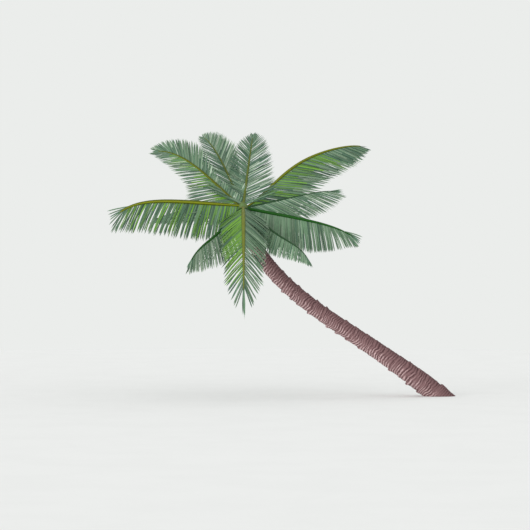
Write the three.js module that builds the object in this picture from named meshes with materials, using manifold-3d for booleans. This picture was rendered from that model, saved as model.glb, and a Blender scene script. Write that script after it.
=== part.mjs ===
// Leaning coconut palm: a bowed trunk with stepped leaf scars, a crown heart of leaf bases,
// and thirteen feather fronds, each one rib with two rows of leaflets.
// Millimetres, +Z up. The origin is the middle of the flat cut under the trunk, at ground level.
// The trunk leans towards -X. Azimuths are degrees from +X, turning towards +Y.
import * as THREE from "three";
import { mergeVertices } from "three/addons/utils/BufferGeometryUtils.js";
import Module from "manifold-3d";

const wasm = await Module();
wasm.setup();

// Driving dimensions of the trunk: its slope is BASE_SLOPE, less EASE_SLOPE along it, plus CURL_SLOPE near the top
const TRUNK_LENGTH = 7920;
const BASE_SLOPE = 38.6;
const EASE_SLOPE = 19.8;
const CURL_SLOPE = 64.7;
const CURL_POWER = 3.36;
const NECK_RADIUS = 204;
const BOLE_RADIUS = 122;
const BOLE_REACH = 0.21;
const FOOT_RADIUS = 286;
const CROWN_TAPER = 0.03;
const BURIED_LENGTH = 700;
const TRUNK_SIDES = 16;

// Driving dimensions of the leaf scars that ring the trunk
const SCAR_COUNT = 24;
const SCAR_CROWDING = 1.12;
const SCAR_LIP = 24;
const SCAR_WAIST = 16;
const SCAR_STEP_LENGTH = 22;
const SCAR_TILT = 52;

// Driving dimensions of the crown heart
const HEART_BASE_RADIUS = 150;
const HEART_RADIUS = 160;
const HEART_HEIGHT = 250;
const HEART_SIDES = 14;
const HEART_RINGS = 6;
const HUB_HEIGHT = 100;
const JOINT_GAP = 0.4;

// Driving dimensions that all fronds share
const RIB_TIP_SHARE = 0.26;
const RIB_FLATNESS = 0.9;
const RIB_EDGE_HEIGHT = 14;
const MOST_EDGE_SHARE = 0.35;
const MOST_RAISED_FACE = 30;
const MOST_LOWERED_FACE = 52;
const RIB_START_RADIUS = 40;
const BARE_STALK_SHARE = 0.07;
const STALK_STEPS = 2;
const LEAFLETS_A_SIDE = 32;
const LEAFLET_WIDTH = 64;
const LEAFLET_FILL = 0.4;
const LEAFLET_THICKNESS = 13;
const LEAFLET_BEND_AT = 0.62;
const FULL_LEAFLETS_FROM = 0.28;
const REACH_TURN = 0.15;
const LEAST_SAG_SHARE = 0.2;
const CLEARANCE = 6;
const SHORTER_TRIES = [1, 0.8, 0.62, 0.45];

// What a frond takes where its own line says nothing
const COMMON = { arch: 0, skew: 0, roll: 0, fanFrom: 0.84, fanSweep: 0.3, right: [1, 1, 0.3], left: [1, 1, 0.3] };

// Each frond is named for the place it takes as seen from the front, looking along +Y.
// rise and fall are the rib's slopes at its base and tip, bend says how late it turns from one to the other,
// and arch steepens its first half and flattens its second.
// rib is the rib's thickness at the base, end the length of the tip leaflet, and lift moves the base up the heart.
// reach is the leaflets' length at the base, in the middle and at the tip; sweep their angle off the rib.
// skew opens the left row and shuts the right, roll turns the blade about the rib, droop folds both rows down,
// and sag bends the leaflets' outer ends down. fanFrom and fanSweep close the leaflets towards the rib's end.
// right and left are the shares of reach that a row keeps by the crown and beyond, and where one turns to the other.
const FRONDS = [
  { name: "frond_front", azimuth: -89, rise: 1, fall: -90, bend: 0.95, length: 3480, lift: -15, rib: 84, end: 880,
    reach: [980, 950, 660], sweep: [60, 44], fanSweep: 0.45, droop: 28, sag: 0.15, bright: true },
  { name: "frond_left", azimuth: 194, rise: 3.5, fall: -34, bend: 5, length: 3510, lift: 45, rib: 98, end: 500,
    reach: [1060, 1160, 760], sweep: [84, 50], skew: -5, fanSweep: 0.6, droop: 68, sag: 0.2, bright: true },
  { name: "frond_upper_right", azimuth: 20, rise: 32, fall: -4.3, bend: 6.7, arch: 10.1, length: 4130, lift: -30,
    rib: 84, end: 240, reach: [1660, 1420, 380], sweep: [50, 36], droop: 72, sag: 0.05, bright: true },
  { name: "frond_upper_left", azimuth: 150, rise: 39.6, fall: 0, bend: 3.6, length: 3380, lift: -30, rib: 74,
    end: 240, reach: [1180, 960, 380], right: [0.25, 1.05, 0.46], left: [1.35, 0.88, 0.27], sweep: [66, 36],
    skew: 6, roll: 42, fanSweep: 0.5, droop: -8, sag: 0.05, bright: true },
  { name: "frond_top", azimuth: 84, rise: 41.4, fall: 35.2, bend: 5.6, length: 3160, lift: 68, rib: 60, end: 380,
    reach: [1080, 900, 340], left: [0.5, 0.92, 0.3], sweep: [72, 30], skew: -4, droop: -16, sag: 0, bright: false },
  { name: "frond_top_left", azimuth: 112, rise: 37.2, fall: 15, bend: 5.9, arch: 2.4, length: 3800, lift: 42,
    rib: 56, end: 340, reach: [1100, 1160, 500], right: [0.5, 1, 0.35], left: [1, 0.6, 0.55], sweep: [46, 34],
    skew: 8, roll: 10, droop: -16, sag: 0, bright: false },
  { name: "frond_right", azimuth: -13.5, rise: -11.1, fall: -33, bend: 5.6, length: 3200, lift: -15, rib: 80,
    end: 360, reach: [1120, 1100, 420], sweep: [88, 52], skew: 3.5, fanFrom: 0.78, fanSweep: 0.36, droop: 68,
    sag: 0.4, bright: false },
  { name: "frond_rear_right", azimuth: -2, rise: 12.2, fall: -2, bend: 9, length: 2520, lift: -10, rib: 58,
    end: 400, reach: [1080, 1140, 500], sweep: [42, 40], fanFrom: 0.68, fanSweep: 0.45, droop: 68, sag: 0.06,
    bright: false },
  { name: "frond_lower_right", azimuth: -50, rise: -24.9, fall: -50, bend: 6.6, arch: -5.5, length: 3170, lift: 0,
    rib: 50, end: 260, reach: [660, 700, 220], sweep: [80, 50], fanSweep: 0.4, droop: 66, sag: 0.6, bright: false },
  { name: "frond_lower_left", azimuth: -119, rise: -24.8, fall: -43.7, bend: 5.4, arch: -4.7, length: 3200,
    lift: -22, rib: 56, end: 340, reach: [820, 940, 480], sweep: [76, 40], fanSweep: 0.4, droop: 66, sag: 0.5,
    bright: false },
  { name: "frond_back", azimuth: 92, rise: 16, fall: -46, bend: 1.3, length: 3250, lift: -40, rib: 70, end: 420,
    reach: [860, 900, 520], sweep: [62, 28], droop: 34, sag: 0.2, bright: false },
  { name: "frond_back_right", azimuth: 58, rise: 2, fall: -34, bend: 1.3, length: 3080, lift: -30, rib: 62, end: 420,
    reach: [780, 840, 500], sweep: [68, 28], droop: 48, sag: 0.2, bright: false },
  { name: "frond_back_left", azimuth: 146, rise: 4, fall: -16, bend: 1.5, length: 2950, lift: -40, rib: 62, end: 400,
    reach: [760, 800, 480], sweep: [68, 28], droop: 44, sag: 0.15, bright: false },
].map((frond) => ({ ...COMMON, ...frond }));

const COLOURS = { bark: 0x7f6262, sheath: 0x8a7a4e, bright: 0x6b9a45, dusty: 0x64855f };

const UP = new THREE.Vector3(0, 0, 1);
const radians = THREE.MathUtils.degToRad;
const mix = THREE.MathUtils.lerp;
const smooth = (low, high, value) => THREE.MathUtils.smoothstep(value, low, high);

// A small seeded random source, so that every run gives the same plant
function seededRandom(seed) {
  let state = seed;
  return () => {
    state = (state + 0x6d2b79f5) | 0;
    let t = Math.imul(state ^ (state >>> 15), 1 | state);
    t = (t + Math.imul(t ^ (t >>> 7), 61 | t)) ^ t;
    return ((t ^ (t >>> 14)) >>> 0) / 4294967296;
  };
}

// Collects vertices and triangles of one closed surface
class Surface {
  constructor() {
    this.positions = [];
    this.indices = [];
  }
  point(v) {
    this.positions.push(v.x, v.y, v.z);
    return this.positions.length / 3 - 1;
  }
  ring(points) {
    return points.map((p) => this.point(p));
  }
  triangle(a, b, c) {
    this.indices.push(a, b, c);
  }
  quad(a, b, c, d) {
    this.triangle(a, b, c);
    this.triangle(a, c, d);
  }
  // Joins two rings of equal count, where the ring runs clockwise seen along the direction of travel
  band(from, to, skip = () => false) {
    from.forEach((_, j) => {
      const next = (j + 1) % from.length;
      if (!skip(j)) this.quad(from[j], from[next], to[next], to[j]);
    });
  }
  startCap(ring) {
    for (let j = 1; j < ring.length - 1; j += 1) this.triangle(ring[0], ring[j + 1], ring[j]);
  }
  endCap(ring) {
    for (let j = 1; j < ring.length - 1; j += 1) this.triangle(ring[0], ring[j], ring[j + 1]);
  }
  solid() {
    return new wasm.Manifold(new wasm.Mesh({
      numProp: 3,
      vertProperties: new Float32Array(this.positions),
      triVerts: new Uint32Array(this.indices),
    }));
  }
}

// A three.js geometry as a solid that can be cut and joined
function solidOf(geometry) {
  const bare = geometry.clone();
  bare.deleteAttribute("normal");
  bare.deleteAttribute("uv");
  const merged = mergeVertices(bare, 1e-3);
  return new wasm.Manifold(new wasm.Mesh({
    numProp: 3,
    vertProperties: merged.attributes.position.array,
    triVerts: new Uint32Array(merged.index.array),
  }));
}

// A cut or joined solid as a flat-shaded geometry
function geometryOf(solid) {
  const mesh = solid.getMesh();
  const geometry = new THREE.BufferGeometry();
  geometry.setAttribute("position", new THREE.BufferAttribute(new Float32Array(mesh.vertProperties), 3));
  geometry.setIndex(new THREE.BufferAttribute(new Uint32Array(mesh.triVerts), 1));
  geometry.computeVertexNormals();
  return geometry;
}

// The trunk's slope above level, in radians, at a share of its length
function trunkSlope(share) {
  const up = Math.max(share, 0);
  return radians(BASE_SLOPE - EASE_SLOPE * up + CURL_SLOPE * up ** CURL_POWER);
}

function trunkDirection(share) {
  const slope = trunkSlope(share);
  return new THREE.Vector3(-Math.cos(slope), 0, Math.sin(slope));
}

// The trunk's centre line, stepped from the ground both ways
function trunkPoint(share) {
  const steps = Math.max(1, Math.ceil(Math.abs(share) * 120));
  const point = new THREE.Vector3();
  for (let i = 0; i < steps; i += 1) {
    point.addScaledVector(trunkDirection((share * (i + 0.5)) / steps), (share * TRUNK_LENGTH) / steps);
  }
  return point;
}

// The trunk's mean radius: a swollen bole that thins fast, then a long even stem that closes under the crown
function trunkRadius(share) {
  const stem = Math.min(FOOT_RADIUS, NECK_RADIUS + BOLE_RADIUS * Math.exp(-Math.max(share, 0) / BOLE_REACH));
  const closing = Math.max(0, (share - 1 + CROWN_TAPER) / CROWN_TAPER);
  return mix(stem, HEART_BASE_RADIUS, closing);
}

// A ring of points round the trunk, clockwise seen along the trunk, tilted towards one side of it
function trunkRing(share, radius, tilt = 0, towards = 0) {
  const centre = trunkPoint(share);
  const along = trunkDirection(share);
  const side = new THREE.Vector3(0, 1, 0);
  const over = new THREE.Vector3().crossVectors(side, along);
  const points = [];
  for (let j = 0; j < TRUNK_SIDES; j += 1) {
    const angle = (2 * Math.PI * j) / TRUNK_SIDES;
    const point = centre.clone();
    point.addScaledVector(over, radius * Math.cos(angle));
    point.addScaledVector(side, radius * Math.sin(angle));
    point.addScaledVector(along, tilt * Math.cos(angle - towards));
    points.push(point);
  }
  return points;
}

// The trunk: stacked leaf-scar segments, each widest at the edge nearer the crown, cut flat at the ground
function trunkSolid() {
  const random = seededRandom(11);
  const surface = new Surface();
  let last = surface.ring(trunkRing(-BURIED_LENGTH / TRUNK_LENGTH, FOOT_RADIUS));
  surface.startCap(last);
  const step = SCAR_STEP_LENGTH / TRUNK_LENGTH;
  for (let i = 0; i < SCAR_COUNT; i += 1) {
    const even = (i + 0.55 + 0.3 * (random() - 0.5)) / SCAR_COUNT;
    const share = 1 - (1 - even) ** SCAR_CROWDING;
    const tilt = SCAR_TILT * (0.4 + 0.6 * random());
    const towards = 2 * Math.PI * random();
    const bold = 0.6 + 0.8 * random();
    const radius = trunkRadius(share);
    const edge = surface.ring(trunkRing(share, radius + SCAR_LIP * bold, tilt, towards));
    surface.band(last, edge);
    const inner = surface.ring(trunkRing(share + step, radius - SCAR_WAIST * bold, tilt, towards));
    surface.band(edge, inner);
    last = inner;
  }
  const top = surface.ring(trunkRing(1, HEART_BASE_RADIUS));
  surface.band(last, top);
  surface.endCap(top);
  return surface.solid().trimByPlane([0, 0, 1], 0);
}

// The crown heart, grown outwards by a small amount where it cuts its neighbours
function heartSolid(growth) {
  const profile = [new THREE.Vector2(0, JOINT_GAP - growth)];
  for (let i = 0; i <= HEART_RINGS; i += 1) {
    const t = i / HEART_RINGS;
    const swell = Math.sin(Math.PI * Math.min(0.5, 0.32 + 0.6 * t));
    const close = Math.sqrt(Math.max(0, 1 - Math.max(0, (t - 0.3) / 0.72) ** 2));
    const radius = Math.max(HEART_RADIUS * swell * close, 20);
    profile.push(new THREE.Vector2(radius + growth, i ? t * HEART_HEIGHT : JOINT_GAP - growth));
  }
  profile.push(new THREE.Vector2(0, HEART_HEIGHT + growth));
  const geometry = new THREE.LatheGeometry(profile, HEART_SIDES);
  const turn = new THREE.Quaternion().setFromUnitVectors(new THREE.Vector3(0, 1, 0), trunkDirection(1));
  geometry.applyQuaternion(turn);
  const foot = trunkPoint(1);
  geometry.translate(foot.x, foot.y, foot.z);
  return solidOf(geometry);
}

// The rib's centre line and frame at a share of its length: along, to the right-hand side, and up out of the blade
function ribFrames(frond, shares) {
  const hub = trunkPoint(1).addScaledVector(trunkDirection(1), HUB_HEIGHT);
  const azimuth = radians(frond.azimuth);
  const outward = new THREE.Vector3(Math.cos(azimuth), Math.sin(azimuth), 0);
  const point = hub.clone().addScaledVector(outward, RIB_START_RADIUS);
  point.z += frond.lift;
  const frames = [];
  const fine = 240;
  let wanted = 0;
  for (let i = 0; i <= fine && wanted < shares.length; i += 1) {
    const share = i / fine;
    const arched = frond.arch * Math.sin(2 * Math.PI * share);
    const slope = radians(mix(frond.rise, frond.fall, share ** frond.bend) + arched);
    const along = outward.clone().multiplyScalar(Math.cos(slope)).addScaledVector(UP, Math.sin(slope));
    while (wanted < shares.length && shares[wanted] <= share + 0.5 / fine) {
      const level = new THREE.Vector3().crossVectors(along, UP).normalize();
      const above = new THREE.Vector3().crossVectors(level, along);
      const roll = radians(frond.roll);
      const side = level.clone().multiplyScalar(Math.cos(roll)).addScaledVector(above, Math.sin(roll));
      const normal = above.clone().multiplyScalar(Math.cos(roll)).addScaledVector(level, -Math.sin(roll));
      frames.push({ share: shares[wanted], point: point.clone(), along, side, normal });
      wanted += 1;
    }
    point.addScaledVector(along, frond.length / fine);
  }
  return frames;
}

function ribHalfHeight(frond, share) {
  return (frond.rib / 2) * mix(1, RIB_TIP_SHARE, share ** 1.6);
}

// Where the rib bears its leaflets, round its section: the middle of that face, and the way up across it
function bearingFace(frond, share) {
  const fold = radians(THREE.MathUtils.clamp(frond.droop, -MOST_RAISED_FACE, MOST_LOWERED_FACE));
  const tall = ribHalfHeight(frond, share);
  const right = tall * RIB_FLATNESS * Math.cos(fold);
  return { right, up: -tall * Math.sin(fold), tallRight: Math.sin(fold), tallUp: Math.cos(fold) };
}

// Six points round the rib: ridge, right face above and below, keel, left face below and above
function ribRing(frond, frame) {
  const tall = ribHalfHeight(frond, frame.share);
  const face = bearingFace(frond, frame.share);
  const edge = Math.min(RIB_EDGE_HEIGHT / 2, tall * MOST_EDGE_SHARE);
  const at = (right, up) =>
    frame.point.clone().addScaledVector(frame.side, right).addScaledVector(frame.normal, up);
  const on = (sign, way) =>
    at(sign * (face.right + way * edge * face.tallRight), face.up + way * edge * face.tallUp);
  return [at(0, tall), on(1, 1), on(1, -1), at(0, -tall), on(-1, -1), on(-1, 1)];
}

// The shares of the rib's length at which its rings stand: the bare stalk, then one ring between leaflets
function ribShares() {
  const shares = [];
  for (let i = 0; i < STALK_STEPS; i += 1) shares.push((BARE_STALK_SHARE * i) / STALK_STEPS);
  for (let i = 0; i <= LEAFLETS_A_SIDE; i += 1) {
    shares.push(mix(BARE_STALK_SHARE, 1, i / LEAFLETS_A_SIDE));
  }
  return shares;
}

// One leaflet's bones: its root, reach and outer end, and its width and thickness directions
function leafletBones(frond, near, far, sign, random) {
  const share = (near.share + far.share) / 2;
  const grown = Math.min(1, (share - BARE_STALK_SHARE) / (FULL_LEAFLETS_FROM - BARE_STALK_SHARE));
  const [start, beyond, turn] = sign > 0 ? frond.right : frond.left;
  const kept = mix(start, beyond, smooth(turn - REACH_TURN, turn + REACH_TURN, share));
  const full = mix(frond.reach[0], frond.reach[1], grown) + (frond.reach[2] - frond.reach[1]) * share ** 3;
  const long = kept * full;
  const outer = long * (1 - LEAFLET_BEND_AT) * (0.88 + 0.24 * random());
  const inner = long * LEAFLET_BEND_AT;
  const fan = mix(1, frond.fanSweep, Math.max(0, (share - frond.fanFrom) / (1 - frond.fanFrom)));
  const open = radians((mix(frond.sweep[0], frond.sweep[1], share ** 1.4) - sign * frond.skew) * fan);
  const droop = radians(frond.droop);
  const face = bearingFace(frond, share);
  const root = near.point.clone().add(far.point).multiplyScalar(0.5);
  root.addScaledVector(near.side, sign * face.right).addScaledVector(near.normal, face.up);
  const upFace = near.side.clone().multiplyScalar(sign * face.tallRight);
  upFace.addScaledVector(near.normal, face.tallUp);
  const along = near.along.clone().add(far.along).normalize();
  const reach = along.clone().multiplyScalar(Math.cos(open));
  reach.addScaledVector(near.side, sign * Math.sin(open) * Math.cos(droop));
  reach.addScaledVector(near.normal, -Math.sin(open) * Math.sin(droop));
  reach.normalize();
  const sag = frond.sag * mix(1, LEAST_SAG_SHARE, smooth(0.7, 1, share));
  const hang = reach.clone().addScaledVector(UP, -sag).normalize();
  const wide = along.clone().addScaledVector(reach, -along.dot(reach)).normalize();
  const thick = upFace.clone().addScaledVector(reach, -upFace.dot(reach));
  thick.addScaledVector(wide, -thick.dot(wide)).normalize();
  const bend = root.clone().addScaledVector(reach, inner);
  const halfRoot = far.point.distanceTo(near.point) / 2;
  return { sign, root, along, upFace, reach, hang, wide, thick, inner, outer, bend, halfRoot };
}

// The bones of one row of leaflets, each as wide as its distance to its neighbours' bends allows
function rowBones(frond, frames, sign, random) {
  const row = [];
  for (let i = STALK_STEPS; i < frames.length - 1; i += 1) {
    row.push(leafletBones(frond, frames[i], frames[i + 1], sign, random));
  }
  row.forEach((bones, i) => {
    const others = [row[i - 1], row[i + 1]].filter(Boolean);
    const gaps = others.map((other) => Math.abs(other.bend.clone().sub(bones.bend).dot(bones.wide)));
    bones.halfWidth = Math.min(LEAFLET_WIDTH / 2, LEAFLET_FILL * Math.min(...gaps));
  });
  return row;
}

// The four points round a leaflet where it bends, clockwise seen from the rib, and its tip
function leafletPoints(bones, factor, extra = 0) {
  const bend = bones.root.clone().addScaledVector(bones.reach, bones.inner * factor);
  const tip = bend.clone().addScaledVector(bones.hang, bones.outer * factor + extra);
  const half = bones.halfWidth + extra;
  const thin = LEAFLET_THICKNESS / 2 + extra;
  const at = (w, t) => bend.clone().addScaledVector(bones.wide, w * half).addScaledVector(bones.thick, t * thin);
  const ring = [at(-1, bones.sign), at(-1, -bones.sign), at(1, -bones.sign), at(1, bones.sign)];
  return { ring, tip };
}

// A leaflet alone, a little too big, for testing that its place is free
function leafletProbe(bones, factor) {
  const points = leafletPoints(bones, factor, CLEARANCE);
  const half = bones.halfRoot + CLEARANCE;
  const thin = RIB_EDGE_HEIGHT / 2 + CLEARANCE;
  const { along, upFace } = bones;
  const at = (w, t) => bones.root.clone().addScaledVector(along, w * half).addScaledVector(upFace, t * thin);
  const surface = new Surface();
  const root = surface.ring([at(-1, bones.sign), at(-1, -bones.sign), at(1, -bones.sign), at(1, bones.sign)]);
  const bend = surface.ring(points.ring);
  const tip = surface.point(points.tip);
  surface.startCap(root);
  surface.band(root, bend);
  bend.forEach((corner, j) => surface.triangle(corner, bend[(j + 1) % bend.length], tip));
  return surface.solid();
}

function boxesMeet(a, b) {
  const first = a.boundingBox();
  const second = b.boundingBox();
  return [0, 1, 2].every((k) => first.min[k] < second.max[k] && second.min[k] < first.max[k]);
}

// The longest share of its length at which a leaflet keeps clear of the rest, or 0
function freeLength(bones, others) {
  for (const factor of SHORTER_TRIES) {
    const probe = leafletProbe(bones, factor);
    const free = others.every((other) => !boxesMeet(probe, other) || probe.intersect(other).isEmpty());
    if (free) return factor;
  }
  return 0;
}

// One frond as one closed surface: the rib's rings, with a leaflet grown out of its side between two rings
function frondSolid(frond, others, leafy) {
  const random = seededRandom(500 + Math.round(frond.azimuth));
  const frames = ribFrames(frond, ribShares());
  const surface = new Surface();
  const rings = frames.map((frame) => surface.ring(ribRing(frond, frame)));
  const rows = [
    { edge: 1, bones: rowBones(frond, frames, 1, random) },
    { edge: 4, bones: rowBones(frond, frames, -1, random) },
  ];
  surface.startCap(rings[0]);
  for (let i = 0; i < rings.length - 1; i += 1) {
    const grown = new Set();
    for (const { edge, bones: row } of rows) {
      const bones = row[i - STALK_STEPS];
      const factor = bones && leafy ? freeLength(bones, others) : 0;
      if (!factor) continue;
      grown.add(edge);
      const points = leafletPoints(bones, factor);
      const root = [rings[i][edge], rings[i][edge + 1], rings[i + 1][edge + 1], rings[i + 1][edge]];
      const bend = surface.ring(points.ring);
      const tip = surface.point(points.tip);
      surface.band(root, bend);
      bend.forEach((corner, j) => surface.triangle(corner, bend[(j + 1) % bend.length], tip));
    }
    surface.band(rings[i], rings[i + 1], (j) => grown.has(j));
  }
  const end = frames[frames.length - 1];
  const tip = surface.point(end.point.clone().addScaledVector(end.along, frond.end));
  const ring = rings[rings.length - 1];
  ring.forEach((corner, j) => surface.triangle(corner, ring[(j + 1) % ring.length], tip));
  return surface.solid();
}

function namedMesh(name, solid, colour, roughness) {
  const material = new THREE.MeshStandardMaterial({ color: colour, roughness, metalness: 0 });
  const mesh = new THREE.Mesh(geometryOf(solid), material);
  mesh.name = name;
  return mesh;
}

// The whole palm: trunk, heart, then each frond clear of all that stands before it
function palm() {
  const group = new THREE.Group();
  const trunk = trunkSolid();
  const heart = heartSolid(0);
  const cutter = heartSolid(JOINT_GAP);
  group.add(namedMesh("trunk", trunk, COLOURS.bark, 0.9));
  group.add(namedMesh("crown_heart", heart, COLOURS.sheath, 0.85));
  const ribs = FRONDS.map((frond) => frondSolid(frond, [], false));
  const done = [];
  FRONDS.forEach((frond, i) => {
    const otherRibs = ribs.filter((_, j) => j > i);
    const solid = frondSolid(frond, [trunk, heart, ...otherRibs, ...done], true).subtract(cutter);
    done.push(solid);
    group.add(namedMesh(frond.name, solid, frond.bright ? COLOURS.bright : COLOURS.dusty, 0.6));
  });
  return group;
}

export default palm();
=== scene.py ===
"""Finished looks of a leaning coconut palm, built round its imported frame.

Metres, +Z up. The origin is the middle of the flat cut under the trunk, at ground level. The trunk leans towards
-X, and the camera looks along +Y. The trunk, its scars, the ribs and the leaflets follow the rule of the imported
solids, carried here to bark, leaf bases, fibres and finer leaflets.
"""

import logging
import math
import random
from collections.abc import Callable, Iterable, Sequence
from dataclasses import dataclass, field
from enum import Enum

import bmesh
import bpy
from mathutils import Matrix, Vector, noise

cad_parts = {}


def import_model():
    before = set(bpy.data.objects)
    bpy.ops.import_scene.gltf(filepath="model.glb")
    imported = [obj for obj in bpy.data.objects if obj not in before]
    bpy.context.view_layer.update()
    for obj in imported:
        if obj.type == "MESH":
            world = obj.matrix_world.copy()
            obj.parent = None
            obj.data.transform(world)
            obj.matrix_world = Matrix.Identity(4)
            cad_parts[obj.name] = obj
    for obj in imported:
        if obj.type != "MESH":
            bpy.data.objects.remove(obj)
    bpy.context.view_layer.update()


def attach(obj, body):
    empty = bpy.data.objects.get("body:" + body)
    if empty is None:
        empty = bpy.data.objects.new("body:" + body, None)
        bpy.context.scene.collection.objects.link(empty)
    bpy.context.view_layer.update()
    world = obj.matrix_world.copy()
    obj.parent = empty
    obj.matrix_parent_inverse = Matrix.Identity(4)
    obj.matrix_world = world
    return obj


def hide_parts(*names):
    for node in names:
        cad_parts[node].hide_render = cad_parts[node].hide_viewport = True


Colour = tuple[float, float, float, float]
Weights = dict["Shade", float]

UP = Vector((0.0, 0.0, 1.0))
ACROSS = Vector((0.0, 1.0, 0.0))
PHOTO_PIXELS = 530
METRES_A_PIXEL = 7.5 / 262
BUMP_STRENGTH = 0.7
FROND_SEED = 500
LEAFLET_STATIONS = (0.0, 0.05, 0.16, 0.3, 0.45, 0.6, 0.74, 0.87, 0.95, 1.0)
TIP_STATIONS = (0.0, 0.3, 0.6, 0.85, 1.0)
log = logging.getLogger("palm")


def mix(low: float, high: float, share: float) -> float:
    """Returns the value at a share of the way from low to high."""
    return low + (high - low) * share


def clamp(value: float, low: float = 0.0, high: float = 1.0) -> float:
    """Returns the value, kept between low and high."""
    return max(low, min(high, value))


def smooth(low: float, high: float, value: float) -> float:
    """Returns a soft step from 0 at low to 1 at high."""
    share = clamp((value - low) / (high - low))
    return share * share * (3.0 - 2.0 * share)


def screen_colour(red: float, green: float, blue: float) -> Colour:
    """Returns the linear colour of screen values from 0 to 255.

    Args:
        red: The red channel.
        green: The green channel.
        blue: The blue channel.

    Returns:
        The colour, opaque.
    """

    def linear(value: float) -> float:
        """Returns one linear channel."""
        share = value / 255.0
        return share / 12.92 if share <= 0.04045 else ((share + 0.055) / 1.055) ** 2.4

    return (linear(red), linear(green), linear(blue), 1.0)


class ScarRandom:
    """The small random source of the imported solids, so that the scars fall where theirs do."""

    WORD = 0xFFFFFFFF

    def __init__(self, seed: int) -> None:
        """Keeps the seed as a 32-bit word."""
        self.state = seed & self.WORD

    def draw(self) -> float:
        """Returns the next number, from 0 up to 1.

        Returns:
            A number below 1.
        """
        self.state = (self.state + 0x6D2B79F5) & self.WORD
        word = ((self.state ^ (self.state >> 15)) * (1 | self.state)) & self.WORD
        word = ((word + (((word ^ (word >> 7)) * (61 | word)) & self.WORD)) ^ word) & self.WORD
        return (word ^ (word >> 14)) / 4294967296


# Shader nodes


class ShaderGraph:
    """Adds and links the nodes of one material or node group."""

    def __init__(self, tree: bpy.types.NodeTree) -> None:
        """Starts on an emptied node tree."""
        self.tree = tree
        self.tree.nodes.clear()

    def add(self, kind: str, **settings: object) -> bpy.types.Node:
        """Returns a new node.

        Args:
            kind: The node's type name, without its ShaderNode prefix.
            settings: Properties of the node to set.

        Returns:
            The new node.
        """
        prefix = "" if kind.startswith("NodeGroup") else "ShaderNode"
        made = self.tree.nodes.new(prefix + kind)
        made.location = (220 * (len(self.tree.nodes) % 9), -260 * (len(self.tree.nodes) // 9))
        for name, value in settings.items():
            setattr(made, name, value)
        return made

    def feed(self, node: bpy.types.Node, socket: str | int, value: object) -> None:
        """Links a socket's value into an input, or sets it where it is plain.

        Args:
            node: The node to feed.
            socket: The input's name or place.
            value: Another node's output socket, or a plain value.
        """
        if isinstance(value, bpy.types.NodeSocket):
            self.tree.links.new(value, node.inputs[socket])
        else:
            node.inputs[socket].default_value = value

    def maths(self, operation: str, *values: object, held: bool = False) -> bpy.types.NodeSocket:
        """Returns the result of a Math node.

        Args:
            operation: The node's operation.
            values: Its inputs, sockets or numbers.
            held: Whether the result is clamped from 0 to 1.

        Returns:
            The node's output socket.
        """
        made = self.add("Math", operation=operation, use_clamp=held)
        for place, value in enumerate(values):
            self.feed(made, place, value)
        return made.outputs[0]

    def step(self, value: object, low: float, high: float) -> bpy.types.NodeSocket:
        """Returns a soft step of a value, from 0 at low to 1 at high.

        Args:
            value: The value's socket.
            low: Where the step starts.
            high: Where it ends.

        Returns:
            The step's socket.
        """
        made = self.add("MapRange", interpolation_type="SMOOTHSTEP")
        self.feed(made, "Value", value)
        self.feed(made, "From Min", low)
        self.feed(made, "From Max", high)
        return made.outputs["Result"]

    def blend(self, share: object, first: object, second: object) -> bpy.types.NodeSocket:
        """Returns a mix of two colours.

        Args:
            share: How much of the second colour is used, a socket or number.
            first: The first colour, a socket or linear colour.
            second: The second colour, a socket or linear colour.

        Returns:
            The mixed colour's socket.
        """
        made = self.add("Mix", data_type="RGBA", blend_type="MIX")
        self.feed(made, 0, share)
        self.feed(made, 6, first)
        self.feed(made, 7, second)
        return made.outputs[2]

    def stretched(self, vector: object, scale: tuple[float, float, float]) -> bpy.types.NodeSocket:
        """Returns a vector scaled along its axes.

        Args:
            vector: The vector's socket.
            scale: How much each axis grows.

        Returns:
            The scaled vector's socket.
        """
        made = self.add("VectorMath", operation="MULTIPLY")
        self.feed(made, 0, vector)
        self.feed(made, 1, scale)
        return made.outputs[0]

    def noise(self, vector: object, scale: object, detail: float = 2.0, rough: float = 0.5) -> bpy.types.NodeSocket:
        """Returns the value of a noise texture.

        Args:
            vector: Where the noise is read.
            scale: Its scale, a socket or number.
            detail: How many finer layers it has.
            rough: How strong these layers are.

        Returns:
            The noise value's socket, about 0.5 on average.
        """
        made = self.add("TexNoise")
        self.feed(made, "Vector", vector)
        self.feed(made, "Scale", scale)
        self.feed(made, "Detail", detail)
        self.feed(made, "Roughness", rough)
        return made.outputs["Fac"]

    def attribute(self, name: str, output: str = "Fac") -> bpy.types.NodeSocket:
        """Returns a mesh attribute's value, or its Vector or Color output."""
        return self.add("Attribute", attribute_name=name).outputs[output]

    def group(self, tree: bpy.types.NodeTree, **inputs: object) -> bpy.types.Node:
        """Returns a placed node group.

        Args:
            tree: The group's node tree.
            inputs: Values of its inputs, with underscores for the spaces in their names.

        Returns:
            The group node.
        """
        made = self.add("Group")
        made.node_tree = tree
        for name, value in inputs.items():
            self.feed(made, name.replace("_", " "), value)
        return made


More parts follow.
